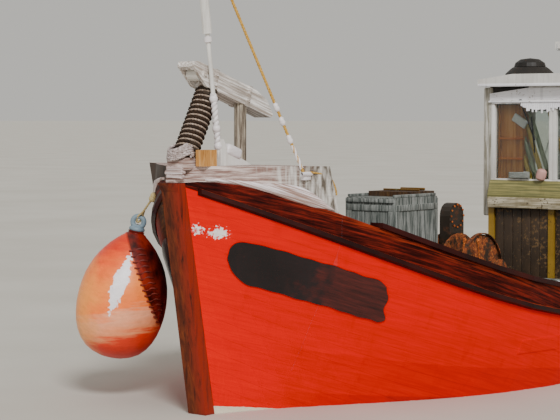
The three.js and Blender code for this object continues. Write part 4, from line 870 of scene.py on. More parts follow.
def framed(low, high, at, facing, wide=0.045, deep=0.03):
    """Four mitred members round an opening that reaches from low to high in (across, up)."""
    (left, foot), (right, head) = low, high
    members = []
    for centre, up, across, tall in (
            ((left + right) / 2, head + wide / 2, right - left + 2 * wide, wide),
            ((left + right) / 2, foot - wide / 2, right - left + 2 * wide, wide),
            (left - wide / 2, (foot + head) / 2, wide, head - foot),
            (right + wide / 2, (foot + head) / 2, wide, head - foot)):
        if facing == "Y":
            members.append(sawn((centre, at, up), (across, deep, tall), edge=0.004))
        else:
            members.append(sawn((at, centre, up), (deep, across, tall), edge=0.004))
    return members


HOUSE_FRONT, HEADER_END, HEADER_Z, HEADER_TALL = 1.49, 0.84, 2.868, 0.15
HEADER_BUTT, HEADER_SAG = -0.33, 0.064
FRINGE_SLATS, SHORT_SLATS, FRINGE_PITCH = 66, 16, 0.0243
SILL_Z = 1.89
finish_node(white_paint, "wheelhouse_front", "wheelhouse_roof")
# the same house paint on upright boards, with dirty joints and a soiled foot
finish_node(brushed_paint("white_matchboard_paint", *HOUSE_WHITES, stroke=(30, 30, 3), shine=0.45, chips=0.76,
                          runs=0.45, zones=matchboard_zones),
            "wheelhouse_back", "wheelhouse_port", "wheelhouse_starboard")
# olive drab, dragged along the sill so that a greener coat shows through
finish_node(brushed_paint("olive_sill_paint", "#8F8654", "#A09662", "#57502E", "#D8CDB0",
                          stroke=(1.6, 30, 50), chips=0.74, under="#6A6A44", glint=0.2), "wheelhouse_sill")
# ochre paint, chipped to brown wood at every edge
finish_node(brushed_paint("ochre_paint", "#8A6A1C", "#A07E2A", "#4A3410", "#5A3E14",
                          stroke=(50, 50, 3), chips=0.66), "wheelhouse_stiles")
# float glass with salt smears: clear, in places hazy
glass, tree, surface, place = new_finish("window_glass")
smears = add_node(tree, "TexNoise", {"Vector": place, "Scale": 4, "Detail": 5})
connect(surface, {"Base Color": "#DCE4E0", "Transmission Weight": 1.0, "Roughness": add_node(
    tree, "MapRange", {"Value": smears, "From Min": 0.4, "From Max": 0.75, "To Min": 0.01, "To Max": 0.16})})
finish_node(glass, *[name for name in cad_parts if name.startswith("pane_")])
# soot over black paint, with a rim of rust where it has flaked
sooty_paint = brushed_paint("sooty_vent_paint", "#14110E", "#241E18", "#0C0A08", "#6E3A1C",
                            stroke=(30, 30, 6), shine=0.5, chips=0.7)
# cool white with a lavender cast, well chipped along the boards
header_white = brushed_paint("lavender_white_paint", "#FDFCFF", "#F2F0F6", "#8B8690", "#A3968A",
                             stroke=(4, 30, 50), shine=0.4, chips=0.64, runs=0.4)
short_board = sawn(((HEADER_BUTT - HEADER_END) / 2, HOUSE_FRONT - 0.012, HEADER_Z),
                   (HEADER_END + HEADER_BUTT, 0.024, HEADER_TALL))
for vertex in short_board.data.vertices:
    if vertex.co.z > 0:
        vertex.co.z -= HEADER_SAG * (0.5 - vertex.co.x / (HEADER_END + HEADER_BUTT))
trim = [short_board,
        sawn(((HEADER_BUTT + HEADER_END) / 2, HOUSE_FRONT - 0.012, HEADER_Z),
             (HEADER_END - HEADER_BUTT, 0.024, HEADER_TALL)),
        sawn((0, HOUSE_FRONT - 0.03, 2.785), (1.68, 0.05, 0.022), edge=0.008)]
random.seed(5)
for k in range(FRINGE_SLATS):
    if k < SHORT_SLATS:
        drop = 0.012 + random.uniform(0, 0.012)
    else:
        drop = 0.07 + 0.02 * math.sin(k * 0.31) + random.uniform(0, 0.05)
    trim.append(sawn((-0.79 + FRINGE_PITCH * k, HOUSE_FRONT - 0.036, 2.78 - drop / 2), (0.0225, 0.01, drop),
                     edge=0.004, segments=1))
fasten(trim, "wheelhouse_header", header_white)
# a dark board behind the sagging header stands in for the shade under the roof's edge: painted shade
fasten(sawn(((HEADER_BUTT - HEADER_END) / 2, HOUSE_FRONT - 0.004, 2.915),
            (HEADER_END + HEADER_BUTT, 0.008, 0.084), edge=0.002),
       "header_shadow_packing", sooty_paint)
fasten(framed((-0.77, SILL_Z), (-0.045, 2.76), HOUSE_FRONT - 0.012, "Y")
       + framed((0.045, SILL_Z), (0.77, 2.76), HOUSE_FRONT - 0.012, "Y"),
       "front_window_frames", white_paint)
posts = []
for side in (-1, 1):
    posts.append(sawn((0.832 * side, HOUSE_FRONT - 0.005, 2.26), (0.06, 0.034, 1.38), edge=0.012))
    posts.append(sawn((0.879 * side, HOUSE_FRONT + 0.035, 2.2), (0.095, 0.11, 1.5), edge=0.02, segments=3))
# old white gone grey on the corners, with long dirty runs down the grain
fasten(posts, "wheelhouse_corner_posts", brushed_paint(
    "greying_white_paint", "#D9D5CE", "#A8A297", "#5C5346", "#8A7A60", stroke=(30, 30, 2), chips=0.7,
    runs=0.7, under="#8E8878"))
# near-black brown paint, worn to ochre wood on its edges
dark_boards = brushed_paint("dark_brown_panel_paint", "#2E2217", "#443322", "#17110B", "#6B5030",
                            stroke=(40, 40, 2.5), shine=0.5, chips=0.6)
fasten([sawn((side * (0.1 + 0.12 * k), HOUSE_FRONT - 0.009, 1.02), (0.112, 0.018, 1.06), edge=0.005)
        for side in (-1, 1) for k in range(6)], "front_panel_boards", dark_boards)
# scruffy cream, half rubbed off the ledge by elbows and lines
fasten(sawn((0.01, 1.384, 1.615), (1.63, 0.03, 0.125), edge=0.01), "front_ledge", brushed_paint(
    "scruffy_cream_paint", "#CFC4AC", "#B0A282", "#5E4E34", "#4A3A22", stroke=(2, 30, 40), chips=0.62,
    under="#7A6C4C"))
wipers = []
for x in (-0.42, 0.42):
    wipers += [
        turned([(0.02, 0), (0.02, 0.03), (0, 0.034)], (x, HOUSE_FRONT - 0.01, 2.79), (0, -1, 0), sides=12),
        sawn((x + 0.1, HOUSE_FRONT - 0.036, 2.56), (0.012, 0.008, 0.48), turn=(0, -0.42, 0), edge=0.002),
        sawn((x + 0.17, HOUSE_FRONT - 0.03, 2.4), (0.014, 0.016, 0.42), turn=(0, -0.12, 0), edge=0.003)]
# black fittings of rubber and painted steel: dull, with specks of rust
black_rubber = worn_iron("black_fittings", "#15171A", "#3A2A20", "#4A4440", amount=0.1, rough=0.5, metal=0.1)
fasten(wipers, "front_wipers", black_rubber)

# Wheelhouse sides and back: beaded window frames, rubbing strakes screwed on, galvanised grab rails on
# brackets, and a lifebuoy in its wooden rack on the back.
HOUSE_OUT, BUOY = 0.862, Vector((0.55, 3.345, 1.25))
BUOY_RADIUS = 0.24
# hot-dip galvanising gone dull: blue-grey metal with a few rust blooms
galvanised = worn_iron("dull_galvanising", "#8E9393", "#A6ABAA", "#6C4A30", amount=0.1, rough=0.55, metal=0.7)
side_frames = []
for fore, aft, out in ((1.65, 2.27, -HOUSE_OUT), (2.47, 3.09, -HOUSE_OUT), (1.65, 2.27, HOUSE_OUT)):
    side_frames += framed((fore, SILL_Z), (aft, 2.68), out, "X")
fasten(side_frames, "side_window_frames", white_paint)
fasten(framed((-0.42, 1.95), (0.42, 2.65), 3.302, "Y"), "back_window_frame", white_paint)
STRAKE_RUNS = ((-0.857, 2.39, 0.014, 1.74), (0.857, 1.92, 0.014, 0.8), (0, 3.298, 1.64, 0.016))
fasten([sawn((x, y, z), (wide, along, tall)) for z, tall in ((1.62, 0.07), (2.86, 0.1))
        for x, y, wide, along in STRAKE_RUNS], "wheelhouse_strakes", header_white)
rails = []
for side, fore, aft in ((-1, 1.7, 3.1), (1, 1.62, 2.28)):
    rails.append(turned([(0.012, 0), (0.012, aft - fore)], (0.885 * side, fore, 1.8), (0, 1, 0), sides=12))
    rails += [turned([(0.022, 0), (0.022, 0.006), (0.01, 0.012), (0.01, 0.034)], (0.851 * side, y, 1.8),
                     (side, 0, 0), sides=12) for y in (fore + 0.04, (fore + aft) / 2, aft - 0.04)]
fasten(rails, "wheelhouse_grab_rails", galvanised)
buoy = bent_ring(BUOY, BUOY_RADIUS, 0.055, (math.radians(90), 0, 0), section=16)
bpy.ops.object.mode_set(mode="EDIT")
bpy.ops.transform.resize(value=(1, 0.7, 1))
bpy.ops.object.mode_set(mode="OBJECT")
fasten(buoy, "lifebuoy", fender_vinyl)
fasten([turned([(0.05, -0.035), (0.059, -0.033), (0.06, 0), (0.059, 0.033), (0.05, 0.035)],
               BUOY + BUOY_RADIUS * Vector((math.cos(a), 0, math.sin(a))),
               (-math.sin(a), 0, math.cos(a)), sides=20)
        for a in [math.radians(45 + 90 * k) for k in range(4)]],
       "lifebuoy_bands", moulding_white)
fasten([sawn((BUOY.x, 3.31, 0.985), (0.3, 0.03, 0.03))]
       + [sawn((BUOY.x + off, BUOY.y, 0.99), (0.03, 0.08, 0.03)) for off in (-0.13, 0.13)],
       "lifebuoy_rack", white_paint)

# Wheelhouse door: framed and ledged in varnished wood, with a glazed port in a bronze ring and a bronze
# lever that turns in a rose.
DOOR_OUT, PORT_AT = 0.866, Vector((0.866, 2.715, 1.92))
# old varnish: amber over straight grain, glossy where it holds and grey where it is gone
varnish = weathered_wood("old_varnish", "#3A2009", "#7A4A18", "#A9793A", grain=(30, 30, 2.5), rough=0.42)
finish_node(varnish, "wheelhouse_door", "helm_console", "helm_wheel", "mast", "boom",
            "otter_board_port", "otter_board_starboard")
fasten([sawn((DOOR_OUT + 0.004, 2.745, z), (0.02, 0.5, 0.09)) for z in (0.5, 1.36, 2.32)]
       + [sawn((DOOR_OUT + 0.004, y, 1.4), (0.02, 0.08, 1.86)) for y in (2.53, 2.965)],
       "door_framing", varnish, body="wheelhouse_door")
fasten([turned([(0.1, 0), (0.135, 0.004), (0.14, 0.014), (0.125, 0.022), (0.105, 0.022), (0.1, 0.012)],
               PORT_AT, (1, 0, 0), sides=36),
        turned([(0.028, 0), (0.026, 0.008), (0.01, 0.014), (0.01, 0.05), (0, 0.05)],
               (DOOR_OUT + 0.012, 2.955, 1.42), (1, 0, 0), sides=16),
        sawn((DOOR_OUT + 0.058, 2.905, 1.42), (0.014, 0.12, 0.02), edge=0.005)],
       "door_port_and_lever", bronze, body="wheelhouse_door")
fasten(turned([(0, 0), (0.1, 0.001), (0.1, 0.006), (0, 0.007)], PORT_AT, (1, 0, 0)),
       "door_port_glass", glass, body="wheelhouse_door")

# Wheelhouse inside: a chart cupboard with painted shelf edges beside the window, a radio set, marker
# poles stood in the corner, and a rope coil and a float on the sill.
# stained pine with the light on it: warm brown to straw
fasten([sawn((-0.6, 1.64, 2.3), (0.3, 0.14, 0.9)), sawn((-0.76, 1.6, 2.3), (0.03, 0.09, 0.9))],
       "chart_cupboard", weathered_wood(
           "brown_cupboard_wood", "#7A3C14", "#C87A38", "#F0B070", greyed=0.05))
# strong orange paint, rubbed to brown on the lips
fasten([sawn((-0.6, 1.56, z), (0.31, 0.05, 0.022)) for z in (2.355, 2.12)],
       "cupboard_shelf_edges", brushed_paint(
           "orange_shelf_paint", "#E06A10", "#F08A24", "#6E2E0A", "#8A5A2A", stroke=(4, 40, 40)))
fasten(sawn((-0.48, 1.555, 2.56), (0.2, 0.03, 0.1), turn=(0, 0.55, 0), edge=0.012), "white_radio_set",
       moulding_white)
bundle = [turned([(0.03, 0), (0.027, 0.4), (0.024, 0.9), (0, 0.91)], (x, 1.62, 1.86), (-0.34, 0.03, 0.9),
                 sides=14) for x in (-0.36, -0.28, -0.19, -0.1, 0.16, 0.3)]
# weathered paint on bamboo: dull ochre, and a grey green
fasten(bundle[::2], "ochre_marker_poles", brushed_paint(
    "ochre_pole_paint", "#C8A23A", "#B08A3A", "#6A5426", "#8A7A50", stroke=(40, 40, 4)))
fasten(bundle[1::2], "grey_green_marker_poles", brushed_paint(
    "grey_green_pole_paint", "#8C9478", "#9FA38C", "#56583E", "#7A7250", stroke=(40, 40, 4)))
ledge_coil = [(-0.42 + 0.13 * math.cos(a), 1.44 + 0.028 * math.sin(a), 1.9 + 0.016 * made)
              for a, made in wound(110, 26)]
# synthetic rope: cool grey and matt
fasten(laid_rope(ledge_coil, 0.024), "sill_rope_coil", weathered_wood(
    "grey_rope", "#5E625E", "#8A8E88", "#B0B2AA", grain=(90, 90, 90), rough=0.9), angle=60)
# faded plastic: chalky pink
fasten(turned([(0, -0.07), (0.03, -0.066), (0.055, -0.045), (0.06, 0), (0.055, 0.045), (0.03, 0.066),
               (0, 0.07)], (-0.12, 1.43, 1.945), (0.3, 0, 1), sides=24), "sill_float", brushed_paint(
    "pinkish_float", "#C4968C", "#B88A80", "#6E4A40", "#D8BDB0", stroke=(12, 12, 12)))

# Wheelhouse roof gear: side lights on their boards, a searchlight, a bronze horn, whip aerials, gutters
# along the roof's edge, and the sheet-iron spray skirt riveted round the vent.
finish_node(sooty_paint, "roof_vent")
for (side, name), tint in zip(SIDES, ("#B01810", "#0E7A3A")):
    fasten([sawn((0.862 * side, 2.37, 2.78), (0.02, 0.16, 0.14)),
            sawn((0.895 * side, 2.44, 2.78), (0.07, 0.018, 0.14))],
           "side_light_board_" + name, dark_boards)
    # coloured glass, glossy and clean
    lens, tree, surface, place = new_finish("side_light_glass_" + name)
    connect(surface, {"Base Color": tint, "Roughness": 0.12, "Coat Weight": 0.6})
    fasten(turned([(0.024, 0), (0.032, 0.01), (0.034, 0.045), (0.03, 0.08), (0.02, 0.09)],
                  (0.898 * side, 2.37, 2.735), sides=20), "side_light_" + name, lens)
fasten([turned([(0.02, 0), (0.05, 0.01), (0.045, 0.03), (0.016, 0.04), (0.016, 0.16)],
               (0.8, 1.5, 3.06), sides=20),
        turned([(0, -0.09), (0.05, -0.085), (0.085, -0.05), (0.095, 0), (0.1, 0.06), (0.106, 0.07),
                (0.1, 0.078), (0.09, 0.07)], (0.8, 1.5, 3.3), (0, -1, -0.1))],
       "searchlight", galvanised)
fasten([turned([(0.09, 0), (0.07, 0.03), (0.035, 0.1), (0.02, 0.24), (0.024, 0.3), (0, 0.31)],
               (0.52, 1.45, 3.2), (0, 1, 0), sides=24),
        sawn((0.52, 1.66, 3.13), (0.05, 0.14, 0.1))], "roof_horn", bronze)
fasten([turned([(0.03, 0), (0.03, 0.05), (0.012, 0.06), (0.012, 0.2), (0.006, 0.22), (0.003, tall),
                (0, tall)], (x, y, 3.07), sides=10) for x, y, tall in ((-0.7, 3.0, 1.5), (0.7, 3.05, 1.9))],
       "whip_aerials", moulding_white)
GUTTER_Z, GUTTER_TALL = 2.975, 0.035
fasten([sawn((0, 1.335, GUTTER_Z), (1.84, 0.018, GUTTER_TALL), edge=0.008),
        sawn((0, 3.378, GUTTER_Z), (1.84, 0.012, GUTTER_TALL))]
       + [sawn((0.922 * side, 2.355, GUTTER_Z), (0.014, 2.04, GUTTER_TALL)) for side in (1, -1)],
       "roof_gutter", header_white)
fasten(turned([(0.08, 0.086), (0.192, 0.086), (0.222, 0.066), (0.285, 0.008), (0.285, -0.045), (0.08, -0.045),
               (0.08, 0.086)], (-0.42, 1.67, 3.1)), "vent_spray_skirt", sooty_paint)

# Companion: a plywood hood over the forepeak ladder. Panelling, corner trims and slide rails are glued
# and screwed on it, and the sliding lid has bronze grips.
# blue-grey paint, run with dirt and rubbed to the darker coat under it
grey_paint = brushed_paint("blue_grey_paint", "#7C7F7A", "#939490", "#3E382F", "#54463A",
                           stroke=(40, 40, 3), shine=0.55, chips=0.7, runs=0.6, under="#4A504C", glint=0.2)
finish_node(grey_paint, "companion", "hatch_cover")
hood = framed((-0.22, 0.95), (0.22, 1.68), -2.106, "Y", wide=0.06, deep=0.014)
for x in (-0.296, 0.296):
    hood += framed((-2.03, 0.95), (-1.42, 1.68), x, "X", wide=0.06, deep=0.014)
hood += [sawn((x, y, 1.1), (0.03, 0.03, 1.39), edge=0.008) for x in (-0.284, 0.284) for y in (-2.094, -1.356)]
fasten(hood, "companion_panelling", grey_paint)
fasten([sawn((x, -1.725, 1.826), (0.026, 0.73, 0.028)) for x in (-0.272, 0.272)]
       + [sawn((0, -2.112, 1.783), (0.58, 0.02, 0.04))], "companion_slide_rails", grey_paint)
fasten([sawn((0, -1.56, 1.872), (0.44, 0.02, 0.018)),
        sawn((0, -1.36, 1.875), (0.3, 0.024, 0.026), edge=0.01)],
       "companion_lid_grips", bronze, body="companion_slide")

# Trawl winch: warps on both drums, turned rims on the drums, clutch levers, and the bolts of the gear
# case's flange, all of rusty and greased iron.
WINCH_Y, WINCH_Z = -0.63, 1.01
WARP_RADIUS, WARP_THICK, WARP_STEPS = 0.205, 0.021, 30
# cast iron with orange rust in blooms over a dark skin
rusty_iron = worn_iron("rusty_winch_iron", "#3E2E22", "#9A4A1A", "#D08A3C", amount=0.6)
finish_node(rusty_iron, "winch_drums", "gooseneck", "exhaust_stack", "net_drum_frame")
# painted frame, brown black with thin rust
finish_node(worn_iron("brown_winch_iron", "#2A2118", "#5A3218", "#8A5224", amount=0.3, metal=0.2),
            "winch_frame")
for side, name in SIDES[::-1]:
    warp = [(side * (0.108 + 0.218 * abs((made % 24) / 12 - 1)),
             WINCH_Y + (WARP_RADIUS + 0.011 * math.floor(made / 12)) * math.cos(a),
             WINCH_Z + (WARP_RADIUS + 0.011 * math.floor(made / 12)) * math.sin(a))
            for a, made in wound(30 * WARP_STEPS, WARP_STEPS)]
    # steel wire, dark with grease, rusty and bright by turns
    fasten(laid_rope(warp, WARP_THICK, strands=2, lay=7), "trawl_warp_" + name, worn_iron(
        "greased_wire_" + name, "#3A342C", "#7A4A22", "#9A7A4A", amount=0.4, metal=0.7, scale=30),
        body="winch_drums", angle=60)
fasten([turned([(0.383, -0.02), (0.392, -0.02), (0.392, 0.02), (0.383, 0.02)], (x, WINCH_Y, WINCH_Z),
               (1, 0, 0), sides=48) for x in (-0.365, 0.365)],
       "winch_drum_rims", rusty_iron, body="winch_drums")
levers = [turned([(0.012, 0), (0.01, 0.2), (0.02, 0.22), (0.022, 0.25), (0, 0.27)],
                 (x, WINCH_Y - 0.24, 1.1), (0, lean, 1), sides=12)
          for x, lean in ((-0.5, 0.2), (-0.28, -0.1), (0.28, 0.25), (0.5, -0.15))]
levers += [turned([(0.012, 0), (0.012, 0.008), (0, 0.01)],
                  (0.07, WINCH_Y + 0.118 * math.cos(a), 1.57 + 0.118 * math.sin(a)), (1, 0, 0), sides=6)
           for a, made in wound(12, 12)]
# bare iron rusted right over: orange, dusty and matt
fasten(levers, "winch_levers_and_bolts", worn_iron(
    "orange_rust", "#7A3A14", "#C4621E", "#E89A4A", amount=0.9))

# Fish hold hatch: an oak coaming with galvanised battens and wedge cleats round it, and a boarded cover
# with cross ledges and lifting rings.
HATCH_Y, HATCH_TOP = 0.775, 0.777
battens = [sawn((x, HATCH_Y, 0.6), (0.02, 0.86, 0.05)) for x in (-0.512, 0.512)] \
    + [sawn((0, y, 0.6), (0.9, 0.02, 0.05)) for y in (0.288, 1.262)] \
    + [sawn((x, 0.4 + 0.185 * k, 0.6), (0.034, 0.05, 0.09)) for k in range(5) for x in (-0.52, 0.52)]
fasten(battens, "hatch_battens_and_cleats", galvanised)
fasten([sawn((0, y, 0.7765), (0.98, 0.07, 0.012)) for y in (0.36, 1.19)],
       "hatch_cover_ledges", grey_paint, body="hatch_cover")
rings = []
for x in (-0.36, 0.36):
    rings += [bent_ring((x, 1.0, HATCH_TOP + 0.004), 0.045, 0.008),
              sawn((x, 0.955, HATCH_TOP), (0.05, 0.03, 0.014))]
fasten(rings, "hatch_cover_rings", galvanised, body="hatch_cover")

# Mast: a varnished pole with iron bands and their eyes, halyards made fast at its cleats, a steaming
# light forward and deck lights on a short crosstree.
MAST_Y = 3.47
MAST_BANDS = ((2.4, 0.0615), (3.9, 0.0565), (4.7, 0.0525), (5.45, 0.0485), (5.98, 0.0465))
finish_node(galvanised, "mast_stays")
iron = []
for z, radius in MAST_BANDS:
    iron.append(turned([(radius - 0.004, -0.028), (radius + 0.008, -0.026), (radius + 0.008, 0.026),
                        (radius - 0.004, 0.028)], (0, MAST_Y, z), sides=28))
    for x, y in ((radius + 0.022, 0), (-radius - 0.022, 0), (0, -radius - 0.022)):
        iron.append(bent_ring((x, MAST_Y + y, z), 0.02, 0.006, (math.radians(90), 0, 0), around=14,
                              section=8))
fasten(iron, "mast_bands", galvanised)
lamps = [sawn((0, MAST_Y, 4.86), (0.9, 0.05, 0.05), edge=0.01)]
lamps += [turned([(0, 0.05), (0.03, 0.045), (0.05, 0.02), (0.085, -0.05), (0.09, -0.06), (0.08, -0.058)],
                 (x, MAST_Y + 0.02, 4.8), (0, -0.5, 1), sides=24) for x in (-0.4, 0.4)]
lamps.append(turned([(0.03, 0), (0.045, 0.01), (0.045, 0.025), (0.038, 0.03), (0.038, 0.1), (0.046, 0.105),
                     (0.03, 0.13), (0, 0.135)], (0, MAST_Y - 0.13, 5.2), sides=24))
lamps.append(sawn((0, MAST_Y - 0.09, 5.19), (0.05, 0.12, 0.02)))
fasten(lamps, "mast_crosstree_and_lamps", moulding_white)
for side, name in SIDES[::-1]:
    fall = [(0.075 * side * out, MAST_Y - 0.045 * aft, z) for out, aft, z in (
        (0.75, 1, 5.9), (0.95, 1.1, 4.4), (1.05, 1.3, 3.62), (1.1, 1.4, 3.5))]
    fasten(laid_rope(through(fall, 4), 0.014, lay=5), "mast_halyard_" + name, rope_finish, angle=60)
fasten([sawn((x, MAST_Y - 0.06, 3.55), (0.02, 0.03, 0.2), edge=0.008) for x in (-0.082, 0.082)],
       "mast_cleats", varnish)

# Boom: a varnished spar with iron bands shrunk on, and a becket at the end that carries a lifting block
# with two cheeks, its sheave and its hook.
BOOM_FOOT, BOOM_WAY = Vector((0, 3.755, 3.475)), Vector((0, 0.868, 0.497))
BLOCK_AT = BOOM_FOOT + BOOM_WAY * 1.55 + Vector((0, 0, -0.16))
gear = [turned([(0.03, -0.025), (0.0455, -0.024), (0.0455, 0.024), (0.03, 0.025)],
               BOOM_FOOT + BOOM_WAY * along, BOOM_WAY, sides=24) for along in (0.25, 0.95, 1.55)]
gear.append(turned([(0.007, 0), (0.007, 0.1)], BLOCK_AT + Vector((0, 0, 0.03)), sides=10))
gear += [turned([(0, -0.005), (0.06, -0.005), (0.06, 0.005), (0, 0.005)], BLOCK_AT + Vector((x, 0, 0)),
                (1, 0, 0), sides=24) for x in (-0.026, 0.026)]
gear.append(turned([(0.05, -0.02), (0.04, 0), (0.05, 0.02)], BLOCK_AT, (1, 0, 0), sides=24))
hook = [BLOCK_AT + Vector((0, 0.034 * math.sin(a), -0.12 - 0.034 * math.cos(a)))
        for a in [math.radians(20 * k) for k in range(-8, 7)]]
gear.append(laid_rope([BLOCK_AT + Vector((0, 0, -0.05))] + hook[::-1], 0.02, strands=1))
fasten(gear, "boom_bands_and_block", rusty_iron, body="boom", angle=50)

# Exhaust stack: a steel pipe behind the wheelhouse, held by three clamp bands, with a hinged rain flap
# leaning on its mouth.
STACK_X, STACK_Y = -0.33, 3.23
stack = [turned([(0.052, -0.006), (0.062, -0.005), (0.062, 0.02), (0.052, 0.021)], (STACK_X, STACK_Y, z),
                sides=28) for z in (3.25, 3.42, 3.58)]
stack.append(turned([(0, 0), (0.058, 0), (0.058, 0.008), (0, 0.012)], (STACK_X, STACK_Y - 0.015, 3.752),
                    (0, -0.35, 1), sides=28))
fasten(stack, "exhaust_clamps_and_flap", rusty_iron)

# Liferaft canister: two moulded halves with ribs and a flanged joint, held down on its chocks by webbing
# straps.
RAFT_Y, RAFT_Z = 2.75, 3.34
finish_node(white_paint, "liferaft", "radar_pedestal", "radar_scanner")
fasten([turned([(0.196, -0.016), (0.206, -0.012), (0.206, 0.012), (0.196, 0.016)], (x, RAFT_Y, RAFT_Z),
               (1, 0, 0), sides=48) for x in (-0.29, -0.15, 0, 0.15, 0.29)]
       + [sawn((0, y, RAFT_Z + 0.005), (0.78, 0.014, 0.024)) for y in (2.55, 2.95)],
       "liferaft_ribs", moulding_white)
straps = []
for x in (-0.22, 0.22):
    straps.append(turned([(0.201, -0.022), (0.2085, -0.022), (0.2085, 0.022), (0.201, 0.022)],
                         (x, RAFT_Y, RAFT_Z), (1, 0, 0), sides=48))
    straps += [sawn((x, y, 3.16), (0.05, 0.07, 0.14), edge=0.01) for y in (2.6, 2.9)]
fasten(straps, "liferaft_straps_and_chocks", black_rubber)

# Radar: a cast pedestal bolted down by its flange, its lead in a gland behind it, and an open scanner
# with plain end caps and a plain band at its middle.
RADAR_X, RADAR_Y, BOLT_CIRCLE = 0.33, 1.91, 0.117
bolts = [turned([(0.012, 0), (0.012, 0.01), (0, 0.012)],
                (RADAR_X + BOLT_CIRCLE * math.cos(a), RADAR_Y + BOLT_CIRCLE * math.sin(a), 3.12), sides=6)
         for a, made in wound(6, 6)]
lead = through([(RADAR_X, 2.0, 3.2), (RADAR_X, 2.08, 3.12), (0.3, 2.3, 3.11), (0.2, 2.42, 3.108)], 6)
fasten(bolts + [laid_rope(lead, 0.02, strands=1)], "radar_bolts_and_lead", black_rubber)
# factory enamel: smooth pale grey, chalked a little
fasten([sawn((RADAR_X + x, RADAR_Y, 3.421), (0.02, 0.118, 0.086), edge=0.012) for x in (-0.5, 0, 0.5)],
       "radar_scanner_bands", brushed_paint("pale_grey_enamel", "#A9ACAE", "#BCBEBE", "#70706C", "#8A8A84",
                                            stroke=(30, 30, 30)), body="radar_scanner")

# Stern gantry: welded galvanised tube with gussets in its corners and plates under its feet, rungs up
# the port leg between two rods, a work light, and the towing blocks under its beam.
GANTRY_X, GANTRY_Y, RUNG_Y = 1.25, 4.61, 4.52
finish_node(galvanised, "stern_gantry")
plates = []
for side in (-1, 1):
    plates.append(sawn((side * (GANTRY_X - 0.17), GANTRY_Y, 2.53), (0.34, 0.012, 0.05),
                       turn=(0, 0.785 * side, 0)))
    plates.append(sawn((side * GANTRY_X, GANTRY_Y, 0.412), (0.2, 0.2, 0.02)))
for z in [0.75 + 0.27 * k for k in range(7)]:
    plates.append(turned([(0.011, -0.16), (0.011, 0.16)], (GANTRY_X, RUNG_Y, z), (1, 0, 0), sides=10))
    plates.append(sawn((GANTRY_X, RUNG_Y + 0.02, z), (0.045, 0.045, 0.02), edge=0.003))
plates += [turned([(0.01, -0.95), (0.01, 0.95)], (x, RUNG_Y, 1.56), sides=10) for x in (1.1, 1.4)]
plates.append(turned([(0, 0.05), (0.05, 0.045), (0.1, -0.03), (0.105, -0.045), (0.095, -0.04)],
                     (0, 4.53, 2.6), (0, -0.8, 1), sides=24))
fasten(plates, "gantry_gussets_and_rungs", galvanised)
blocks = []
for at in (Vector((-0.78, GANTRY_Y, 2.5)), Vector((0.78, GANTRY_Y, 2.5))):
    blocks += [turned([(0, -0.006), (0.1, -0.006), (0.1, 0.006), (0, 0.006)], at + Vector((off, 0, 0)),
                      (1, 0, 0), sides=28) for off in (-0.035, 0.035)]
    blocks.append(turned([(0.085, -0.028), (0.07, 0), (0.085, 0.028)], at, (1, 0, 0), sides=28))
    blocks.append(sawn(at + Vector((0, 0, 0.12)), (0.03, 0.04, 0.08)))
fasten(blocks, "towing_blocks", rusty_iron, angle=50)

# Otter boards: oak planks bolted under iron straps, with a heavy shoe along the lower edge and brackets
# for the warp. Each hangs by a short chain.
BOARD_X, BOARD_Y, LINKS = 1.0, 5.13, 7
for side, name in SIDES:
    x = side * BOARD_X
    straps = [sawn((x + at, BOARD_Y, 2.0), (0.06, 0.072, 0.63), edge=0.004) for at in (-0.32, 0, 0.32)]
    straps.append(sawn((x, BOARD_Y, 1.487), (0.66, 0.078, 0.03), edge=0.008))
    for at in (-0.16, 0.16):
        straps.append(sawn((x + at, BOARD_Y - 0.045, 1.86), (0.03, 0.1, 0.03), turn=(0.6, 0, 0)))
        straps += [turned([(0.014, 0), (0.013, 0.006), (0, 0.01)], (x + at * 2, BOARD_Y - 0.036, up),
                          (0, -1, 0), sides=8) for up in (1.7, 1.86, 2.14, 2.27)]
    straps += [bent_ring((x, BOARD_Y, 2.34 + 0.044 * k), 0.034, 0.011, (math.radians(90), 0, 1.57 * k),
                         around=16, section=8) for k in range(LINKS)]
    fasten(straps, "otter_board_irons_" + name, rusty_iron)

# Net drum: a galvanised drum in its iron frame. The net's bunched twine is wound on in turns, with
# orange headline floats among them.
DRUM_Y, DRUM_Z, NET_RADIUS, NET_STEPS = 4.11, 1.08, 0.272, 620
finish_node(galvanised, "net_drum")
# braided twine in shadow and in the light: dark to blue green, furry and matt
finish_node(weathered_wood("green_netting", "#123524", "#1F5138", "#3E7A58", grain=(40, 40, 40), rough=0.95),
            "net_wound")
green_twine = weathered_wood("green_twine", "#0F3B28", "#2B7050", "#62A884", grain=(70, 70, 70), rough=0.95)
random.seed(11)
lay = [(-0.53 + 1.06 * k / NET_STEPS, DRUM_Y + (NET_RADIUS + 0.014 * math.sin(k * 0.37)) * math.cos(a),
        DRUM_Z + (NET_RADIUS + 0.014 * math.sin(k * 0.61)) * math.sin(a))
       for k, (a, made) in enumerate(wound(NET_STEPS, 26))]
fasten(laid_rope(lay, 0.05, lay=2.6), "net_bunched_twine", green_twine, body="net_drum", angle=60)
floats = []
for k in range(11):
    a = random.uniform(0, math.tau)
    floats.append(turned([(0.014, -0.07), (0.045, -0.058), (0.068, -0.025), (0.07, 0), (0.068, 0.025),
                          (0.045, 0.058), (0.014, 0.07)],
                         (-0.48 + 0.096 * k, DRUM_Y + 0.262 * math.cos(a), DRUM_Z + 0.262 * math.sin(a)),
                         (1, 0.2 * math.sin(k), 0.1), sides=20))
fasten(floats, "net_headline_floats", orange_vinyl, body="net_drum", angle=60)

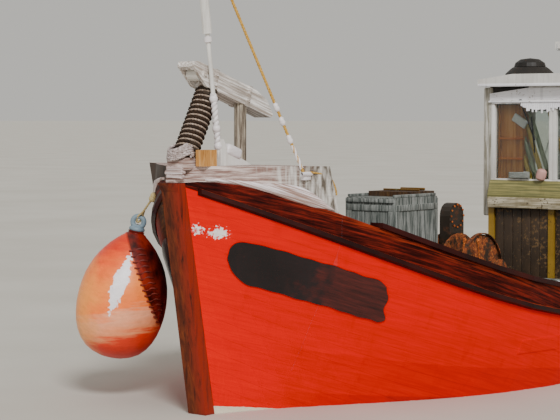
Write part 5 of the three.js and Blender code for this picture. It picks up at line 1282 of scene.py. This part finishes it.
# Bulwark stanchions: grown oak timbers, bolted to the planking inside each bulwark from the deck edge to
# the rail, and painted grey with it.
DECK_Z, FIRST_TIMBER, TIMBER_PITCH, TIMBER_DEEP = 0.4, 1.55, 0.62, 0.085
timbers = []
for side, name in SIDES:
    for s in [FIRST_TIMBER + TIMBER_PITCH * k for k in range(13)]:
        y, top = s + STEM_Y, rail_at(s)[1] - 0.02
        rings = []
        for z in (DECK_Z + 0.003, (DECK_Z + top) / 2, top):
            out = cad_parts["bulwark_" + name].ray_cast((0, y, z), (side, 0, 0))[1].x - 0.004 * side
            rings.append([(out, y - 0.04, z), (out, y + 0.04, z), (out - TIMBER_DEEP * side, y + 0.034, z),
                          (out - TIMBER_DEEP * side, y - 0.034, z)])
        timbers.append(swept(rings))
fasten(timbers, "bulwark_stanchions", grey_paint)

# Mooring gear on deck: a pair of cast iron bitts bolted down at each quarter, turns of rope on the port
# pair, and two flat coils of manila laid down forward.
fasten([turned([(0.07, 0), (0.07, 0.02), (0.045, 0.03), (0.045, 0.28), (0.058, 0.3), (0.055, 0.33),
                (0, 0.34)], (x, y, DECK_Z), sides=24) for x in (-1.28, 1.28) for y in (3.42, 3.66)],
       "quarter_bitts", rusty_iron)
turns = [(1.28 + 0.062 * math.sin(a), 3.54 + 0.12 * math.sin(a / 2) + 0.06 * math.cos(a),
          0.45 + 0.2 * made / 6.5) for a, made in wound(260, 40)]
fasten(laid_rope(turns, 0.024), "bitts_mooring_turns", rope_finish, angle=60)
for name, at, big in (("port", (1.15, -1.0, 0.42), 0.19), ("starboard", (-1.2, -0.2, 0.42), 0.22)):
    coil = []
    for k, (a, made) in enumerate(wound(15 * 36, 36)):
        reach = big - 0.128 * abs((made / 4) % 2 - 1) + 0.004 * math.sin(k * 0.9)
        coil.append((at[0] + reach * math.cos(a), at[1] + reach * math.sin(a) * 0.92,
                     at[2] + 0.027 * made / 4))
    fasten(laid_rope(coil, 0.03), "deck_rope_coil_" + name, rope_finish, angle=60)

# Fish boxes: moulded plastic with a rolled rim, two on the deck and one on top of them, stood at the
# starboard side of the hatch.
BOX_WIDE, BOX_LONG, BOX_TALL, BOX_WALL = 0.4, 0.56, 0.17, 0.018
# polyethylene: faded blue, scuffed pale and grimed
box_blue = brushed_paint("fish_box_blue", "#2B5B86", "#3C6E98", "#4A4A40", "#7AA0BC",
                         stroke=(10, 10, 10), shine=0.5)
BOXES = ((-1.12, 0.5, 0.4, 0.02), (-1.1, 1.1, 0.4, -0.03), (-1.13, 0.52, 0.58, 0.05))
for number, (x, y, z, turn) in enumerate(BOXES, 1):
    bpy.ops.object.select_all(action="DESELECT")
    bpy.ops.mesh.primitive_cube_add(size=1, location=(x, y, z + 0.095), rotation=(0, 0, turn))
    crate = bpy.context.object
    bpy.ops.object.mode_set(mode="EDIT")
    bpy.ops.transform.resize(value=(BOX_WIDE, BOX_LONG, BOX_TALL), orient_type="LOCAL")
    bpy.ops.mesh.select_all(action="DESELECT")
    bpy.ops.object.mode_set(mode="OBJECT")
    for face in crate.data.polygons:
        face.select = face.normal.z > 0.5
    bpy.ops.object.mode_set(mode="EDIT")
    bpy.ops.mesh.select_mode(type="FACE")
    bpy.ops.mesh.inset(thickness=BOX_WALL)
    bpy.ops.mesh.extrude_region_move(TRANSFORM_OT_translate={"value": (0, 0, -0.14)})
    bpy.ops.mesh.select_mode(type="VERT")
    bpy.ops.object.mode_set(mode="OBJECT")
    rim = [sawn(Vector((x, y, z + 0.175)) + Matrix.Rotation(turn, 3, "Z") @ Vector((dx, dy, 0)), size,
                turn=(0, 0, turn), edge=0.004)
           for dx, dy, size in ((0.2, 0, (0.02, 0.58, 0.02)), (-0.2, 0, (0.02, 0.58, 0.02)),
                                (0, 0.28, (0.42, 0.02, 0.02)), (0, -0.28, (0.42, 0.02, 0.02)))]
    fasten([crate] + rim, "fish_box_%d" % number, box_blue)

# Stern: a varnished board, bare, is bent to the transom. Zinc anodes are bolted on each side of the
# skeg, and bronze straps hold the rudder blade to its stock.
BOARD_HALF, BOARD_FOOT, BOARD_HEAD, BOARD_THICK = 0.55, 0.5, 0.66, 0.018
ANODE_Y, ANODE_Z = 3.3, -0.72
bpy.context.view_layer.update()
rings = []
for x in [-BOARD_HALF + 2 * BOARD_HALF * step / 12 for step in range(13)]:
    low, high = [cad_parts["bulwark_stern"].ray_cast((x, 8, z), (0, -1, 0))[1].y + 0.001
                 for z in (BOARD_FOOT, BOARD_HEAD)]
    rings.append([(x, low, BOARD_FOOT), (x, low + BOARD_THICK, BOARD_FOOT + 0.003),
                  (x, high + BOARD_THICK, BOARD_HEAD - 0.003), (x, high, BOARD_HEAD)])
fasten(swept(rings), "transom_board", varnish)
zincs = []
for side in (-1, 1):
    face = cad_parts["backbone"].ray_cast((side, ANODE_Y, ANODE_Z), (-side, 0, 0))[1].x
    zincs.append(sawn((face + 0.013 * side, ANODE_Y, ANODE_Z), (0.03, 0.26, 0.07), edge=0.011, segments=3))
    zincs += [turned([(0.014, 0), (0.013, 0.007), (0, 0.011)], (face + 0.027 * side, y, ANODE_Z),
                     (side, 0, 0), sides=8) for y in (3.22, 3.38)]
fasten(zincs, "skeg_anodes", galvanised)
fasten([sawn((0, 4.4, z), (0.075, 0.38, 0.05), edge=0.008) for z in (-0.88, -0.62, -0.36)],
       "rudder_straps", bronze, body="rudder")
